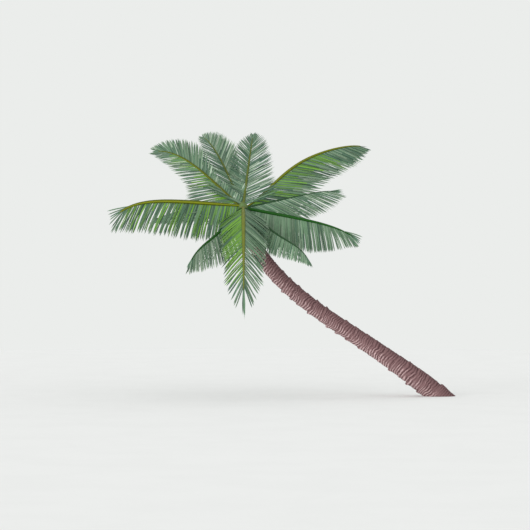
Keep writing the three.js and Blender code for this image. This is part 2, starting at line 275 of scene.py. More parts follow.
class SharedEffects:
    """Shader node groups that several finishes share, each built once."""

    made: dict[str, bpy.types.NodeTree] = {}

    @classmethod
    def build(
        cls,
        name: str,
        inputs: Sequence[tuple[str, str]],
        outputs: Sequence[tuple[str, str]],
        wire: Callable[[ShaderGraph, bpy.types.Node, bpy.types.Node], None],
    ) -> bpy.types.NodeTree:
        """Returns a node group, wired the first time that it is asked for.

        Args:
            name: The group's name.
            inputs: Name and kind of each input socket.
            outputs: Name and kind of each output socket.
            wire: Adds the nodes between the group's input and output nodes.

        Returns:
            The group's node tree.
        """
        if name not in cls.made:
            tree = bpy.data.node_groups.new(name, "ShaderNodeTree")
            for label, kind in inputs:
                tree.interface.new_socket(label, in_out="INPUT", socket_type="NodeSocket" + kind)
            for label, kind in outputs:
                tree.interface.new_socket(label, in_out="OUTPUT", socket_type="NodeSocket" + kind)
            graph = ShaderGraph(tree)
            wire(graph, graph.add("NodeGroupInput"), graph.add("NodeGroupOutput"))
            cls.made[name] = tree
        return cls.made[name]

    @classmethod
    def mottle(cls) -> bpy.types.NodeTree:
        """Returns the group that mottles a base colour towards a second one, in soft patches and fine specks.

        Returns:
            The group's node tree.
        """

        def wire(graph: ShaderGraph, given: bpy.types.Node, result: bpy.types.Node) -> None:
            """Adds the patches and specks.

            Args:
                graph: The group's nodes.
                given: Its input node.
                result: Its output node.
            """
            patches = graph.noise(given.outputs["Place"], given.outputs["Scale"], 3.0, 0.55)
            fine_scale = graph.maths("MULTIPLY", given.outputs["Scale"], 7.0)
            specks = graph.noise(given.outputs["Place"], fine_scale, 2.0)
            share = graph.maths("ADD", graph.step(patches, 0.35, 0.68), graph.maths("SUBTRACT", specks, 0.5))
            share = graph.maths("MULTIPLY", share, given.outputs["Amount"], held=True)
            graph.feed(result, "Colour", graph.blend(share, given.outputs["Base"], given.outputs["Second"]))
            graph.feed(result, "Mask", share)

        return cls.build(
            "Mottled Colour",
            [("Place", "Vector"), ("Base", "Color"), ("Second", "Color"), ("Scale", "Float"), ("Amount", "Float")],
            [("Colour", "Color"), ("Mask", "Float")],
            wire,
        )

    @classmethod
    def fibres(cls) -> bpy.types.NodeTree:
        """Returns the group that makes fine fibres or veins along a piece's own length.

        Returns:
            The group's node tree.
        """

        def wire(graph: ShaderGraph, given: bpy.types.Node, result: bpy.types.Node) -> None:
            """Adds the drawn-out noise.

            Args:
                graph: The group's nodes.
                given: Its input node.
                result: Its output node.
            """
            drawn = graph.add("CombineXYZ")
            graph.feed(drawn, "X", given.outputs["Fineness"])
            graph.feed(drawn, "Y", given.outputs["Fineness"])
            graph.feed(drawn, "Z", graph.maths("DIVIDE", given.outputs["Fineness"], given.outputs["Stretch"]))
            vector = graph.stretched(given.outputs["Place"], drawn.outputs[0])
            strands = graph.noise(vector, 1.0, 3.0, 0.6)
            graph.feed(result, "Mask", graph.step(strands, 0.38, 0.64))
            graph.feed(result, "Height", strands)

        return cls.build(
            "Lengthwise Fibres",
            [("Place", "Vector"), ("Fineness", "Float"), ("Stretch", "Float")],
            [("Mask", "Float"), ("Height", "Float")],
            wire,
        )


# Finishes


@dataclass(frozen=True)
class Finish:
    """A surface finish that becomes one material, built once."""

    name: str

    def material(self) -> bpy.types.Material:
        """Returns the finish's material, wired the first time that it is asked for.

        Returns:
            The one material of that name.
        """
        found = bpy.data.materials.get(self.name)
        if found:
            return found
        made = bpy.data.materials.new(self.name)
        made.use_nodes = True
        graph = ShaderGraph(made.node_tree)
        shader = graph.add("BsdfPrincipled")
        output = graph.add("OutputMaterial")
        graph.feed(output, "Surface", shader.outputs[0])
        self.wire(graph, shader)
        return made

    def wire(self, graph: ShaderGraph, shader: bpy.types.Node) -> None:
        """Adds the finish's own nodes; each kind of finish has its own."""
        raise NotImplementedError

    @staticmethod
    def raise_surface(graph: ShaderGraph, shader: bpy.types.Node, height: object, depth: float) -> None:
        """Feeds a height through a Bump node into the shader's normal.

        Args:
            graph: The material's nodes.
            shader: The material's shader.
            height: The height's socket.
            depth: How far a height of 1 stands out, in metres.
        """
        bump = graph.add("Bump")
        graph.feed(bump, "Height", height)
        graph.feed(bump, "Distance", depth)
        graph.feed(bump, "Strength", BUMP_STRENGTH)
        graph.feed(shader, "Normal", bump.outputs[0])


@dataclass(frozen=True)
class LeafFinish(Finish):
    """Satin leaf blade with a pale midrib line, fine veins and soft mottling."""

    colour: Colour
    second: Colour
    vein_fineness: float = 420.0
    vein_stretch: float = 60.0
    vein_share: float = 0.16
    line_edges: tuple[float, float] = (0.0008, 0.0026)
    line_share: float = 0.5

    def wire(self, graph: ShaderGraph, shader: bpy.types.Node) -> None:
        """Adds mottling, veins, the midrib line and the leaflet's own tone.

        Args:
            graph: The material's nodes.
            shader: The material's shader.
        """
        place = graph.attribute("place", "Vector")
        mottle = graph.group(
            SharedEffects.mottle(), Place=place, Base=self.colour, Second=self.second, Scale=7.0, Amount=0.8
        )
        veins = graph.group(
            SharedEffects.fibres(), Place=place, Fineness=self.vein_fineness, Stretch=self.vein_stretch
        )
        across = graph.add("SeparateXYZ")
        graph.feed(across, 0, place)
        line = graph.maths("SUBTRACT", 1.0, graph.step(graph.maths("ABSOLUTE", across.outputs["X"]), *self.line_edges))
        vein_share = graph.maths("MULTIPLY", veins.outputs["Mask"], self.vein_share)
        shaded = graph.blend(vein_share, mottle.outputs["Colour"], self.second)
        pale = tuple(min(1.0, channel * 1.5 + 0.04) for channel in self.colour[:3]) + (1.0,)
        lined = graph.blend(graph.maths("MULTIPLY", line, self.line_share), shaded, pale)
        tone = graph.maths("MULTIPLY_ADD", graph.attribute("tone"), 0.5, 0.75)
        toned = graph.add("VectorMath", operation="SCALE")
        graph.feed(toned, 0, lined)
        graph.feed(toned, "Scale", tone)
        graph.feed(shader, "Base Color", toned.outputs[0])
        graph.feed(shader, "Roughness", graph.maths("MULTIPLY_ADD", mottle.outputs["Mask"], 0.14, 0.5))
        shader.inputs["Specular IOR Level"].default_value = 0.3
        self.raise_surface(graph, shader, veins.outputs["Height"], 0.0006)


@dataclass(frozen=True)
class RibFinish(Finish):
    """Smooth frond rib with a painted highlight: a pale band along the side of it that is seen from the front, and
    painted shade towards its other sides.
    """

    core: Colour
    edge: Colour
    highlight_at: float
    highlight_width: float

    def wire(self, graph: ShaderGraph, shader: bpy.types.Node) -> None:
        """Adds the painted highlight band, whose place round the section is kept in the tone, the painted shade away
        from it, and the fibres.

        Args:
            graph: The material's nodes.
            shader: The material's shader.
        """
        place = graph.attribute("place", "Vector")
        # Painted highlight along the band and painted shade away from it, round the rib's section.
        away = graph.maths("ABSOLUTE", graph.maths("SUBTRACT", graph.attribute("tone"), self.highlight_at))
        shade = graph.step(away, self.highlight_width * 0.55, self.highlight_width)
        highlit = graph.blend(shade, self.core, self.edge)
        dull = tuple(channel * 0.62 for channel in self.core[:3]) + (1.0,)
        mottle = graph.group(SharedEffects.mottle(), Place=place, Base=highlit, Second=dull, Scale=9.0, Amount=0.45)
        fibres = graph.group(SharedEffects.fibres(), Place=place, Fineness=180.0, Stretch=50.0)
        lined = graph.blend(graph.maths("MULTIPLY", fibres.outputs["Mask"], 0.22), mottle.outputs["Colour"], dull)
        graph.feed(shader, "Base Color", lined)
        graph.feed(shader, "Roughness", graph.maths("MULTIPLY_ADD", fibres.outputs["Mask"], 0.16, 0.42))
        shader.inputs["Specular IOR Level"].default_value = 0.2
        self.raise_surface(graph, shader, fibres.outputs["Height"], 0.0012)


@dataclass(frozen=True)
class BarkFinish(Finish):
    """Rough bark with dark grooves, pale lips and fine cracks; its tone runs from groove to lip, and from painted
    light on the trunk's lower side to painted shade on its upper side.
    """

    dark: Colour
    middle: Colour
    pale: Colour

    def wire(self, graph: ShaderGraph, shader: bpy.types.Node) -> None:
        """Adds the tone's colours, weathered patches, fibres and cracks.

        Args:
            graph: The material's nodes.
            shader: The material's shader.
        """
        place = graph.attribute("place", "Vector")
        uneven = graph.noise(graph.stretched(place, (9.0, 9.0, 26.0)), 1.0, 4.0, 0.6)
        tone = graph.maths("ADD", graph.attribute("tone"), graph.maths("MULTIPLY_ADD", uneven, 0.3, -0.15))
        lower = graph.blend(graph.step(tone, 0.02, 0.5), self.dark, self.middle)
        whole = graph.blend(graph.step(tone, 0.48, 0.92), lower, self.pale)
        worn = tuple(channel * 0.74 for channel in self.middle[:3]) + (1.0,)
        mottle = graph.group(SharedEffects.mottle(), Place=place, Base=whole, Second=worn, Scale=5.0, Amount=0.3)
        fibres = graph.group(SharedEffects.fibres(), Place=place, Fineness=95.0, Stretch=9.0)
        graph.feed(
            shader,
            "Base Color",
            graph.blend(graph.maths("MULTIPLY", fibres.outputs["Mask"], 0.16), mottle.outputs["Colour"], self.dark),
        )
        graph.feed(shader, "Roughness", graph.maths("MULTIPLY_ADD", fibres.outputs["Mask"], 0.12, 0.82))
        shader.inputs["Specular IOR Level"].default_value = 0.2
        grain = graph.maths("MULTIPLY_ADD", uneven, 0.6, fibres.outputs["Height"])
        self.raise_surface(graph, shader, grain, 0.005)


@dataclass(frozen=True)
class LeafBaseFinish(Finish):
    """Matt fibrous leaf bases, from olive where fresh to brown where dry."""

    fresh: Colour
    dry: Colour

    def wire(self, graph: ShaderGraph, shader: bpy.types.Node) -> None:
        """Adds the drying patches and coarse fibres.

        Args:
            graph: The material's nodes.
            shader: The material's shader.
        """
        place = graph.attribute("place", "Vector")
        dryness = graph.maths("SUBTRACT", 1.0, graph.attribute("tone"), held=True)
        base = graph.blend(dryness, self.fresh, self.dry)
        dull = tuple(channel * 0.55 for channel in self.dry[:3]) + (1.0,)
        mottle = graph.group(SharedEffects.mottle(), Place=place, Base=base, Second=dull, Scale=14.0, Amount=0.6)
        fibres = graph.group(SharedEffects.fibres(), Place=place, Fineness=240.0, Stretch=26.0)
        lined = graph.blend(graph.maths("MULTIPLY", fibres.outputs["Mask"], 0.4), mottle.outputs["Colour"], dull)
        graph.feed(shader, "Base Color", lined)
        graph.feed(shader, "Roughness", graph.maths("MULTIPLY_ADD", fibres.outputs["Mask"], 0.15, 0.7))
        shader.inputs["Specular IOR Level"].default_value = 0.2
        self.raise_surface(graph, shader, fibres.outputs["Height"], 0.004)


@dataclass(frozen=True)
class FloorFinish(Finish):
    """Plain pale floor with the faintest unevenness."""

    colour: Colour

    def wire(self, graph: ShaderGraph, shader: bpy.types.Node) -> None:
        """Adds the unevenness.

        Args:
            graph: The material's nodes.
            shader: The material's shader.
        """
        coordinates = graph.add("TexCoord")
        second = tuple(channel * 0.985 for channel in self.colour[:3]) + (1.0,)
        mottle = graph.group(
            SharedEffects.mottle(),
            Place=coordinates.outputs["Object"],
            Base=self.colour,
            Second=second,
            Scale=0.6,
            Amount=1.0,
        )
        graph.feed(shader, "Base Color", mottle.outputs["Colour"])
        shader.inputs["Roughness"].default_value = 1.0
        shader.inputs["Specular IOR Level"].default_value = 0.0


class Shade(Enum):
    """The leaf colours that are dealt out over a frond, in the order of its material slots. LIME is partly the leaves'
    own yellow-green and partly painted highlight, in thin bright streaks.
    """

    LIME = 0
    FRESH = 1
    DEEP = 2
    MID = 3
    DUSTY = 4
    PALE = 5


LEAF_FINISHES = [
    LeafFinish("leaf lime", screen_colour(97, 141, 43), screen_colour(86, 130, 50)),
    LeafFinish("leaf fresh", screen_colour(96, 134, 72), screen_colour(84, 122, 70)),
    LeafFinish("leaf deep", screen_colour(68, 97, 78), screen_colour(60, 90, 70)),
    LeafFinish("leaf mid", screen_colour(90, 119, 91), screen_colour(82, 111, 85)),
    LeafFinish("leaf dusty", screen_colour(110, 132, 108), screen_colour(100, 123, 101)),
    LeafFinish("leaf pale", screen_colour(150, 166, 146), screen_colour(134, 152, 132)),
]
# Each rib finish sets its painted highlight band at the place round the section where the front view sees the rib,
# with painted shade on its other sides.
SIDE_OLIVE = RibFinish("rib olive", screen_colour(126, 134, 4), screen_colour(62, 74, 2), 0.5, 0.15)
DARK_OLIVE = RibFinish("rib olive dark", screen_colour(106, 114, 4), screen_colour(64, 76, 4), 0.4, 0.28)
FRONT_OLIVE = RibFinish("rib olive front", screen_colour(108, 115, 42), screen_colour(74, 92, 26), 0.0, 0.34)
THIN_OLIVE = RibFinish("rib olive thin", screen_colour(118, 126, 46), screen_colour(84, 98, 34), 1.0, 0.5)
VIVID_GREEN = RibFinish("rib green", screen_colour(16, 78, 2), screen_colour(12, 56, 4), 0.46, 0.4)
DARK_GREEN = RibFinish("rib dark green", screen_colour(38, 72, 40), screen_colour(26, 52, 28), 0.46, 0.4)
BARK = BarkFinish("palm bark", screen_colour(76, 51, 54), screen_colour(130, 99, 100), screen_colour(210, 180, 180))
LEAF_BASE = LeafBaseFinish("palm leaf bases", screen_colour(98, 128, 78), screen_colour(110, 108, 58))
FIBRE = LeafBaseFinish("palm fibres", screen_colour(174, 112, 110), screen_colour(138, 84, 86))
FLOOR = FloorFinish("pale floor", screen_colour(234.5, 234.5, 234.5))


# Meshes


@dataclass
class MeshBuilder:
    """Collects the points and faces of one piece.

    Each point keeps its place on the piece as if that were straight, with Z along it, and a tone from 0 to 1.
    """

    points: list[Vector] = field(default_factory=list)
    places: list[Sequence[float]] = field(default_factory=list)
    tones: list[float] = field(default_factory=list)
    faces: list[tuple[int, ...]] = field(default_factory=list)
    slots: list[int] = field(default_factory=list)

    def point(self, at: Vector, place: Sequence[float], tone: float) -> int:
        """Adds a point.

        Args:
            at: Where it is, in metres.
            place: Where it would be on the straightened piece.
            tone: Its tone, from 0 to 1.

        Returns:
            The point's number.
        """
        self.points.append(at)
        self.places.append(place)
        self.tones.append(tone)
        return len(self.points) - 1

    def face(self, corners: Sequence[int], slot: int = 0) -> None:
        """Adds a face of one material slot."""
        self.faces.append(tuple(corners))
        self.slots.append(slot)

    def band(self, lower: Sequence[int], upper: Sequence[int], slot: int = 0, closed: bool = True) -> None:
        """Joins two rings or rows of equal count.

        Args:
            lower: The first ring's points, clockwise seen along the direction of travel.
            upper: The next ring's points.
            slot: The faces' material slot.
            closed: Whether the last point joins the first.
        """
        count = len(lower)
        for j in range(count if closed else count - 1):
            after = (j + 1) % count
            self.face((lower[j], lower[after], upper[after], upper[j]), slot)

    def object(self, name: str, finishes: Iterable[Finish]) -> bpy.types.Object:
        """Makes the collected mesh an object with smooth faces.

        Args:
            name: The piece's name.
            finishes: The finishes of its material slots, in order.

        Returns:
            The new object, linked to the scene.
        """
        mesh = bpy.data.meshes.new(name)
        mesh.from_pydata([tuple(p) for p in self.points], [], self.faces)
        place = mesh.attributes.new("place", "FLOAT_VECTOR", "POINT")
        place.data.foreach_set("vector", [value for row in self.places for value in row])
        tone = mesh.attributes.new("tone", "FLOAT", "POINT")
        tone.data.foreach_set("value", self.tones)
        mesh.polygons.foreach_set("material_index", self.slots)
        mesh.polygons.foreach_set("use_smooth", [True] * len(self.faces))
        for finish in finishes:
            mesh.materials.append(finish.material())
        mesh.update()
        made = bpy.data.objects.new(name, mesh)
        bpy.context.scene.collection.objects.link(made)
        return made


def install(piece: bpy.types.Object, slot: str, *nodes: str) -> None:
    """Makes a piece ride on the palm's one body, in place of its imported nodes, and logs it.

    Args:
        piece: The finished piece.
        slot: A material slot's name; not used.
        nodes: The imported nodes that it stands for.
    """
    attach(piece, "root")
    if nodes:
        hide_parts(*nodes)
    piece.data.calc_loop_triangles()
    log.info("%s: %d triangles", piece.name, len(piece.data.loop_triangles))


# Trunk


@dataclass(frozen=True)
class Scar:
    """One ring-shaped leaf scar: where it is along the trunk, its tilt, the side it tilts to and its strength."""

    at: float
    tilt: float
    towards: float
    bold: float


@dataclass
class Trunk:
    """Bowed, leaning trunk of stacked cups, each flaring to a ragged lip at the edge nearer the crown.

    Its slopes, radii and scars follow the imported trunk, and buried is how far it is built below the ground before
    the flat cut. ring_pitch is the space of the fine rings between the scars. Only leaflets between guard_low and
    guard_high above the ground, and within guard_width of the trunk's plane, can meet it.
    """

    length: float = 7.92
    base_slope: float = 38.6
    ease_slope: float = 19.8
    curl_slope: float = 64.7
    curl_power: float = 3.36
    neck_radius: float = 0.204
    bole_radius: float = 0.122
    bole_reach: float = 0.21
    foot_radius: float = 0.286
    top_radius: float = 0.150
    crown_taper: float = 0.03
    buried: float = 0.70
    scar_count: int = 24
    scar_crowding: float = 1.12
    scar_lip: float = 0.031
    scar_waist: float = 0.016
    scar_step: float = 0.022
    scar_tilt: float = 0.052
    ring_pitch: float = 0.072
    mesh_pitch: float = 0.0125
    sides: int = 92
    axis_pitch: float = 0.01
    scar_seed: int = 11
    waist_share: float = 0.6
    fine_height: float = 0.009
    crack_depth: float = 0.004
    lump_height: float = 0.006
    guard_low: float = 0.5
    guard_high: float = 5.35
    guard_width: float = 0.4
    guard_start: int = 60

    def __post_init__(self) -> None:
        """Steps the centre line from the ground both ways."""
        self.axis: dict[int, Vector] = {0: Vector((0.0, 0.0, 0.0))}
        below = -math.ceil(self.buried / self.axis_pitch) - 4
        above = math.ceil(self.length / self.axis_pitch) + 4
        for ends, way in ((range(1, above), 1), (range(-1, below, -1), -1)):
            for i in ends:
                middle = (i - way * 0.5) * self.axis_pitch
                self.axis[i] = self.axis[i - way] + self.direction(middle) * (self.axis_pitch * way)

    def direction(self, at: float) -> Vector:
        """Returns the trunk's direction at a length along it.

        Args:
            at: The length from the ground, in metres.

        Returns:
            A unit vector towards the crown.
        """
        share = max(at / self.length, 0.0)
        slope = math.radians(self.base_slope - self.ease_slope * share + self.curl_slope * share**self.curl_power)
        return Vector((-math.cos(slope), 0.0, math.sin(slope)))

    def centre(self, at: float) -> Vector:
        """Returns the centre line's point at a length along it.

        Args:
            at: The length from the ground, in metres.

        Returns:
            The point, between two steps of the axis.
        """
        place = at / self.axis_pitch
        lower = math.floor(place)
        return self.axis[lower].lerp(self.axis[lower + 1], place - lower)

    def radius(self, at: float) -> float:
        """Returns the mean radius: a swollen bole, a long even stem and a quick taper under the crown.

        Args:
            at: The length from the ground, in metres.

        Returns:
            The radius in metres, without the bark's relief.
        """
        share = at / self.length
        stem = self.neck_radius + self.bole_radius * math.exp(-max(share, 0.0) / self.bole_reach)
        closing = clamp((share - 1.0 + self.crown_taper) / self.crown_taper)
        return mix(min(self.foot_radius, stem), self.top_radius, closing)

    def scars(self) -> list[Scar]:
        """Returns the leaf scars from the foot up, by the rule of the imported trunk.

        Returns:
            The scars in order of height.
        """
        source = ScarRandom(self.scar_seed)
        found = []
        for i in range(self.scar_count):
            even = (i + 0.55 + 0.3 * (source.draw() - 0.5)) / self.scar_count
            at = (1.0 - (1.0 - even) ** self.scar_crowding) * self.length
            tilt = self.scar_tilt * (0.4 + 0.6 * source.draw())
            towards = 2.0 * math.pi * source.draw()
            found.append(Scar(at, tilt, towards, 0.6 + 0.8 * source.draw()))
        return found

    def ring(
        self,
        builder: MeshBuilder,
        at: float,
        shift: Callable[[float], float],
        relief: Callable[[float], tuple[float, float]],
    ) -> list[int]:
        """Adds one ring of points round the trunk.

        Args:
            builder: The trunk's mesh.
            at: The ring's length along the trunk.
            shift: How far each point stands along the trunk from there, by its angle.
            relief: How far it stands out from the mean radius, and its tone, by its angle.

        Returns:
            The points' numbers, clockwise seen along the trunk.
        """
        centre = self.centre(at)
        along = self.direction(at)
        over = ACROSS.cross(along)
        mean = self.radius(at)
        made = []
        for j in range(self.sides):
            angle = 2.0 * math.pi * j / self.sides
            moved = shift(angle)
            out, tone = relief(angle)
            radius = mean + out
            point = centre + over * (radius * math.cos(angle)) + ACROSS * (radius * math.sin(angle)) + along * moved
            place = (mean * math.cos(angle), mean * math.sin(angle), at + moved)
            made.append(builder.point(point, place, tone))
        return made

    @staticmethod
    def ragged(scar: Scar | None, angle: float) -> float:
        """Returns how far a scar's lip stands along the trunk from its middle, at an angle round it.

        Args:
            scar: The scar, or None at the foot.
            angle: The angle round the trunk.

        Returns:
            The distance towards the crown, in metres.
        """
        if scar is None:
            return 0.0
        spot = Vector((math.cos(angle), math.sin(angle), scar.at * 3.1))
        torn = noise.noise(spot * 1.3) * 0.055 + noise.noise(spot * 4.5) * 0.022 + noise.noise(spot * 15.0) * 0.010
        return scar.tilt * math.cos(angle - scar.towards) + torn

    @staticmethod
    def boldness(scar: Scar | None, angle: float) -> float:
        """Returns how strongly a scar's lip stands out at an angle, as lips fade away on part of their round.

        Args:
            scar: The scar, or None at the foot.
            angle: The angle round the trunk.

        Returns:
            A share of the full lip, a little over 1 at most.
        """
        if scar is None:
            return 0.0
        spot = Vector((math.cos(angle) * 0.9, math.sin(angle) * 0.9, scar.at * 5.7))
        return scar.bold * (0.2 + 0.95 * smooth(-0.22, 0.3, noise.noise(spot))) * (1.0 - 0.18 * math.cos(angle))

    def cup_relief(
        self, lower: Scar | None, upper: Scar, share: float, rings: int
    ) -> Callable[[float], tuple[float, float]]:
        """Returns the relief between two scars, and the tone, with painted shade on the trunk's upper side.

        Args:
            lower: The scar below, or None at the foot.
            upper: The scar above, whose lip ends this cup.
            share: How far up the cup the ring is.
            rings: How many finer rings the cup has.

        Returns:
            A function from an angle to the relief and the tone.
        """
        height = upper.at + share * 0.33

        def relief(angle: float) -> tuple[float, float]:
            """Returns the relief and tone at an angle.

            Args:
                angle: The angle round the trunk.

            Returns:
                The relief in metres, and the tone.
            """
            east, north = math.cos(angle), math.sin(angle)
            wander = noise.noise(Vector((east * 1.1, north * 1.1, height * 2.0))) * 0.4
            wander += noise.noise(Vector((east * 0.5, north * 0.5, height * 9.0))) * 0.34
            wander += noise.noise(Vector((east * 3.0, north * 3.0, height * 5.0))) * 0.1
            phase = (share * rings + wander) % 1.0
            spot = Vector((east * 1.8 + 9.0, north * 1.8, height * 13.0))
            strength = 0.3 + 0.7 * smooth(-0.3, 0.3, noise.noise(spot))
            fine = strength * math.sin(math.pi * phase**1.7)
            flare = smooth(0.45, 1.0, share) ** 1.5
            below, above = self.boldness(lower, angle), self.boldness(upper, angle)
            out = mix(-self.scar_waist * self.waist_share * below, self.scar_lip * 0.06, smooth(0.0, 0.3, share))
            out += self.scar_lip * 0.94 * above * flare
            crack = smooth(0.82, 0.98, 1.0 - abs(noise.noise(Vector((east * 5.2, north * 5.2, height * 2.1)))))
            lump = noise.noise(Vector((east * 1.5, north * 1.5, height * 1.4)))
            out += self.fine_height * fine - self.crack_depth * crack + self.lump_height * lump
            # Painted shade and light: the tone falls on the trunk's upper side, where east nears 1, and rises on its
            # lower side. The pale ring lines on the lower side are also made stronger as painted highlight.
            tone = 0.45 + (0.84 * fine - 0.5 * strength) * (1.0 - 0.45 * east) - 0.05 * crack - 0.26 * east
            tone += 0.1 * above * smooth(0.82, 0.97, share)
            return out, clamp(tone)

        return relief

    def lip_relief(self, scar: Scar, share: float) -> Callable[[float], tuple[float, float]]:
        """Returns the relief over a lip's rounded edge, from its rim in to the next cup's waist.

        Args:
            scar: The scar whose lip it is.
            share: How far from the rim in to the waist.

        Returns:
            A function from an angle to the relief and the tone.
        """

        def relief(angle: float) -> tuple[float, float]:
            """Returns the relief and tone at an angle.

            Args:
                angle: The angle round the trunk.

            Returns:
                The relief in metres, and the tone.
            """
            turn = 0.5 - 0.5 * math.cos(math.pi * share)
            bold = self.boldness(scar, angle)
            out = mix(self.scar_lip * bold, -self.scar_waist * self.waist_share * bold, turn)
            return out, mix(0.6, 0.48, turn)

        return relief

    def build(self) -> bpy.types.Object:
        """Returns the trunk, cut flat at the ground.

        Returns:
            The bark, from the ground to under the crown heart.
        """
        builder = MeshBuilder()
        lower: Scar | None = None
        start = -self.buried
        last: list[int] | None = None
        for upper in self.scars():
            span = upper.at - start
            steps = max(4, round(span / self.mesh_pitch))
            rings = max(2, round(span / self.ring_pitch))
            for i in range(steps + 1):
                share = i / steps
                ring = self.ring(
                    builder,
                    mix(start, upper.at, share),
                    lambda angle: mix(self.ragged(lower, angle), self.ragged(upper, angle), share),
                    self.cup_relief(lower, upper, share, rings),
                )
                if last:
                    builder.band(last, ring)
                last = ring
            for share in (0.3, 0.65, 1.0):
                at = upper.at + self.scar_step * share
                ring = self.ring(builder, at, lambda angle: self.ragged(upper, angle), self.lip_relief(upper, share))
                builder.band(last, ring)
                last = ring
            lower = upper
            start = upper.at + self.scar_step
        top = self.ring(builder, self.length, lambda angle: 0.0, lambda angle: (0.0, 0.3))
        builder.band(last, top)
        builder.face(top)
        piece = builder.object("trunk_bark", [BARK])
        self.cut_flat(piece.data)
        return piece

    @staticmethod
    def cut_flat(mesh: bpy.types.Mesh) -> None:
        """Cuts a mesh level at the ground and closes the cut.

        Args:
            mesh: The trunk's mesh, which reaches below the ground.
        """
        work = bmesh.new()
        work.from_mesh(mesh)
        whole = work.verts[:] + work.edges[:] + work.faces[:]
        cut = bmesh.ops.bisect_plane(
            work, geom=whole, dist=1e-6, plane_co=(0.0, 0.0, 0.0), plane_no=(0.0, 0.0, 1.0), clear_inner=True
        )
        rim = [item for item in cut["geom_cut"] if isinstance(item, bmesh.types.BMEdge)]
        for face in bmesh.ops.edgeloop_fill(work, edges=rim)["faces"]:
            face.smooth = False
        work.to_mesh(mesh)
        work.free()
        mesh.update()

    def keep_out(self, point: Vector, gap: float) -> Vector:
        """Returns a point moved off the trunk where it would touch it.

        Args:
            point: The point.
            gap: How far it has to stay from the bark.

        Returns:
            The point, or the nearest one clear of the trunk.
        """
        if point.z < self.guard_low or point.z > self.guard_high or abs(point.y) > self.guard_width:
            return point
        steps = range(self.guard_start, round(self.length / self.axis_pitch))
        place = min(steps, key=lambda i: (self.axis[i] - point).length_squared)
        away = point - self.axis[place]
        need = self.radius(place * self.axis_pitch) + gap
        if away.length >= need:
            return point
        return self.axis[place] + away.normalized() * need


# Fronds


@dataclass(frozen=True)
class RibFrame:
    """A place on a rib: its share of the length, its point, and the ways along, to the right and out of the blade."""

    share: float
    point: Vector
    along: Vector
    side: Vector
    normal: Vector


@dataclass(frozen=True)
class LeafMix:
    """How the leaf colours are dealt out near the rib, farther out and at the ends, and how many keep one colour.

    turns says between which shares of its length a leaflet's first colour gives way to its second.
    """

    inner: Weights
    outer: Weights
    ends: Weights
    keep: float = 0.5
    turns: tuple[float, float] = (0.3, 0.8)

    def deal(self, source: random.Random, before: int) -> tuple[int, int, int]:
        """Returns one leaflet's material slots, from the rib outwards; most keep one colour as far as their end.

        Args:
            source: The frond's random source.
            before: The slot that the leaflet before it starts with, which it seldom repeats.

        Returns:
            The slots by the rib, farther out and at the end.
        """

        def pick(weights: Weights) -> int:
            """Returns one slot by its weight."""
            return source.choices([shade.value for shade in weights], list(weights.values()))[0]

        inner = pick(self.inner)
        for _ in range(2):
            inner = pick(self.inner) if inner == before else inner
        outer = inner if source.random() < self.keep else pick(self.outer)
        return inner, outer, outer if outer != Shade.LIME.value and source.random() < 0.3 else pick(self.ends)


STRIPED = LeafMix(
    {Shade.LIME: 0.34, Shade.FRESH: 0.08, Shade.DEEP: 0.26, Shade.MID: 0.32},
    {Shade.LIME: 0.12, Shade.FRESH: 0.1, Shade.DEEP: 0.18, Shade.MID: 0.28, Shade.DUSTY: 0.32},
    {Shade.DEEP: 0.1, Shade.MID: 0.24, Shade.DUSTY: 0.4, Shade.PALE: 0.26},
    0.42,
)
FADING = LeafMix(
    {Shade.LIME: 0.44, Shade.FRESH: 0.1, Shade.DEEP: 0.16, Shade.MID: 0.3},
    {Shade.DEEP: 0.12, Shade.MID: 0.34, Shade.DUSTY: 0.36, Shade.PALE: 0.18},
    {Shade.DEEP: 0.06, Shade.MID: 0.18, Shade.DUSTY: 0.38, Shade.PALE: 0.38},
    0.04,
    (0.28, 0.7),
)
LIMY = LeafMix(
    {Shade.LIME: 0.76, Shade.FRESH: 0.12, Shade.DEEP: 0.12},
    {Shade.LIME: 0.4, Shade.FRESH: 0.2, Shade.DEEP: 0.34, Shade.MID: 0.06},
    {Shade.LIME: 0.04, Shade.DEEP: 0.56, Shade.MID: 0.3, Shade.DUSTY: 0.1},
    0.5,
    (0.34, 0.84),
)
DULL = LeafMix(
    {Shade.DEEP: 0.3, Shade.MID: 0.4, Shade.DUSTY: 0.22, Shade.PALE: 0.08},
    {Shade.DEEP: 0.2, Shade.MID: 0.3, Shade.DUSTY: 0.34, Shade.PALE: 0.16},
    {Shade.DEEP: 0.12, Shade.MID: 0.16, Shade.DUSTY: 0.4, Shade.PALE: 0.32},
)
EVEN = LeafMix(
    {Shade.DEEP: 0.1, Shade.MID: 0.62, Shade.DUSTY: 0.28},
    {Shade.DEEP: 0.04, Shade.MID: 0.5, Shade.DUSTY: 0.4, Shade.PALE: 0.06},
    {Shade.MID: 0.28, Shade.DUSTY: 0.42, Shade.PALE: 0.3},
)
SHARP = LeafMix(
    {Shade.DEEP: 0.7, Shade.MID: 0.12, Shade.DUSTY: 0.08, Shade.PALE: 0.1},
    {Shade.DEEP: 0.62, Shade.MID: 0.14, Shade.DUSTY: 0.12, Shade.PALE: 0.12},
    {Shade.DEEP: 0.36, Shade.MID: 0.14, Shade.DUSTY: 0.26, Shade.PALE: 0.24},
    0.6,
)
BRUSH = LeafMix(
    {Shade.DEEP: 0.16, Shade.MID: 0.34, Shade.DUSTY: 0.3, Shade.PALE: 0.2},
    {Shade.DEEP: 0.06, Shade.MID: 0.14, Shade.DUSTY: 0.34, Shade.PALE: 0.46},
    {Shade.DUSTY: 0.3, Shade.PALE: 0.7},
)
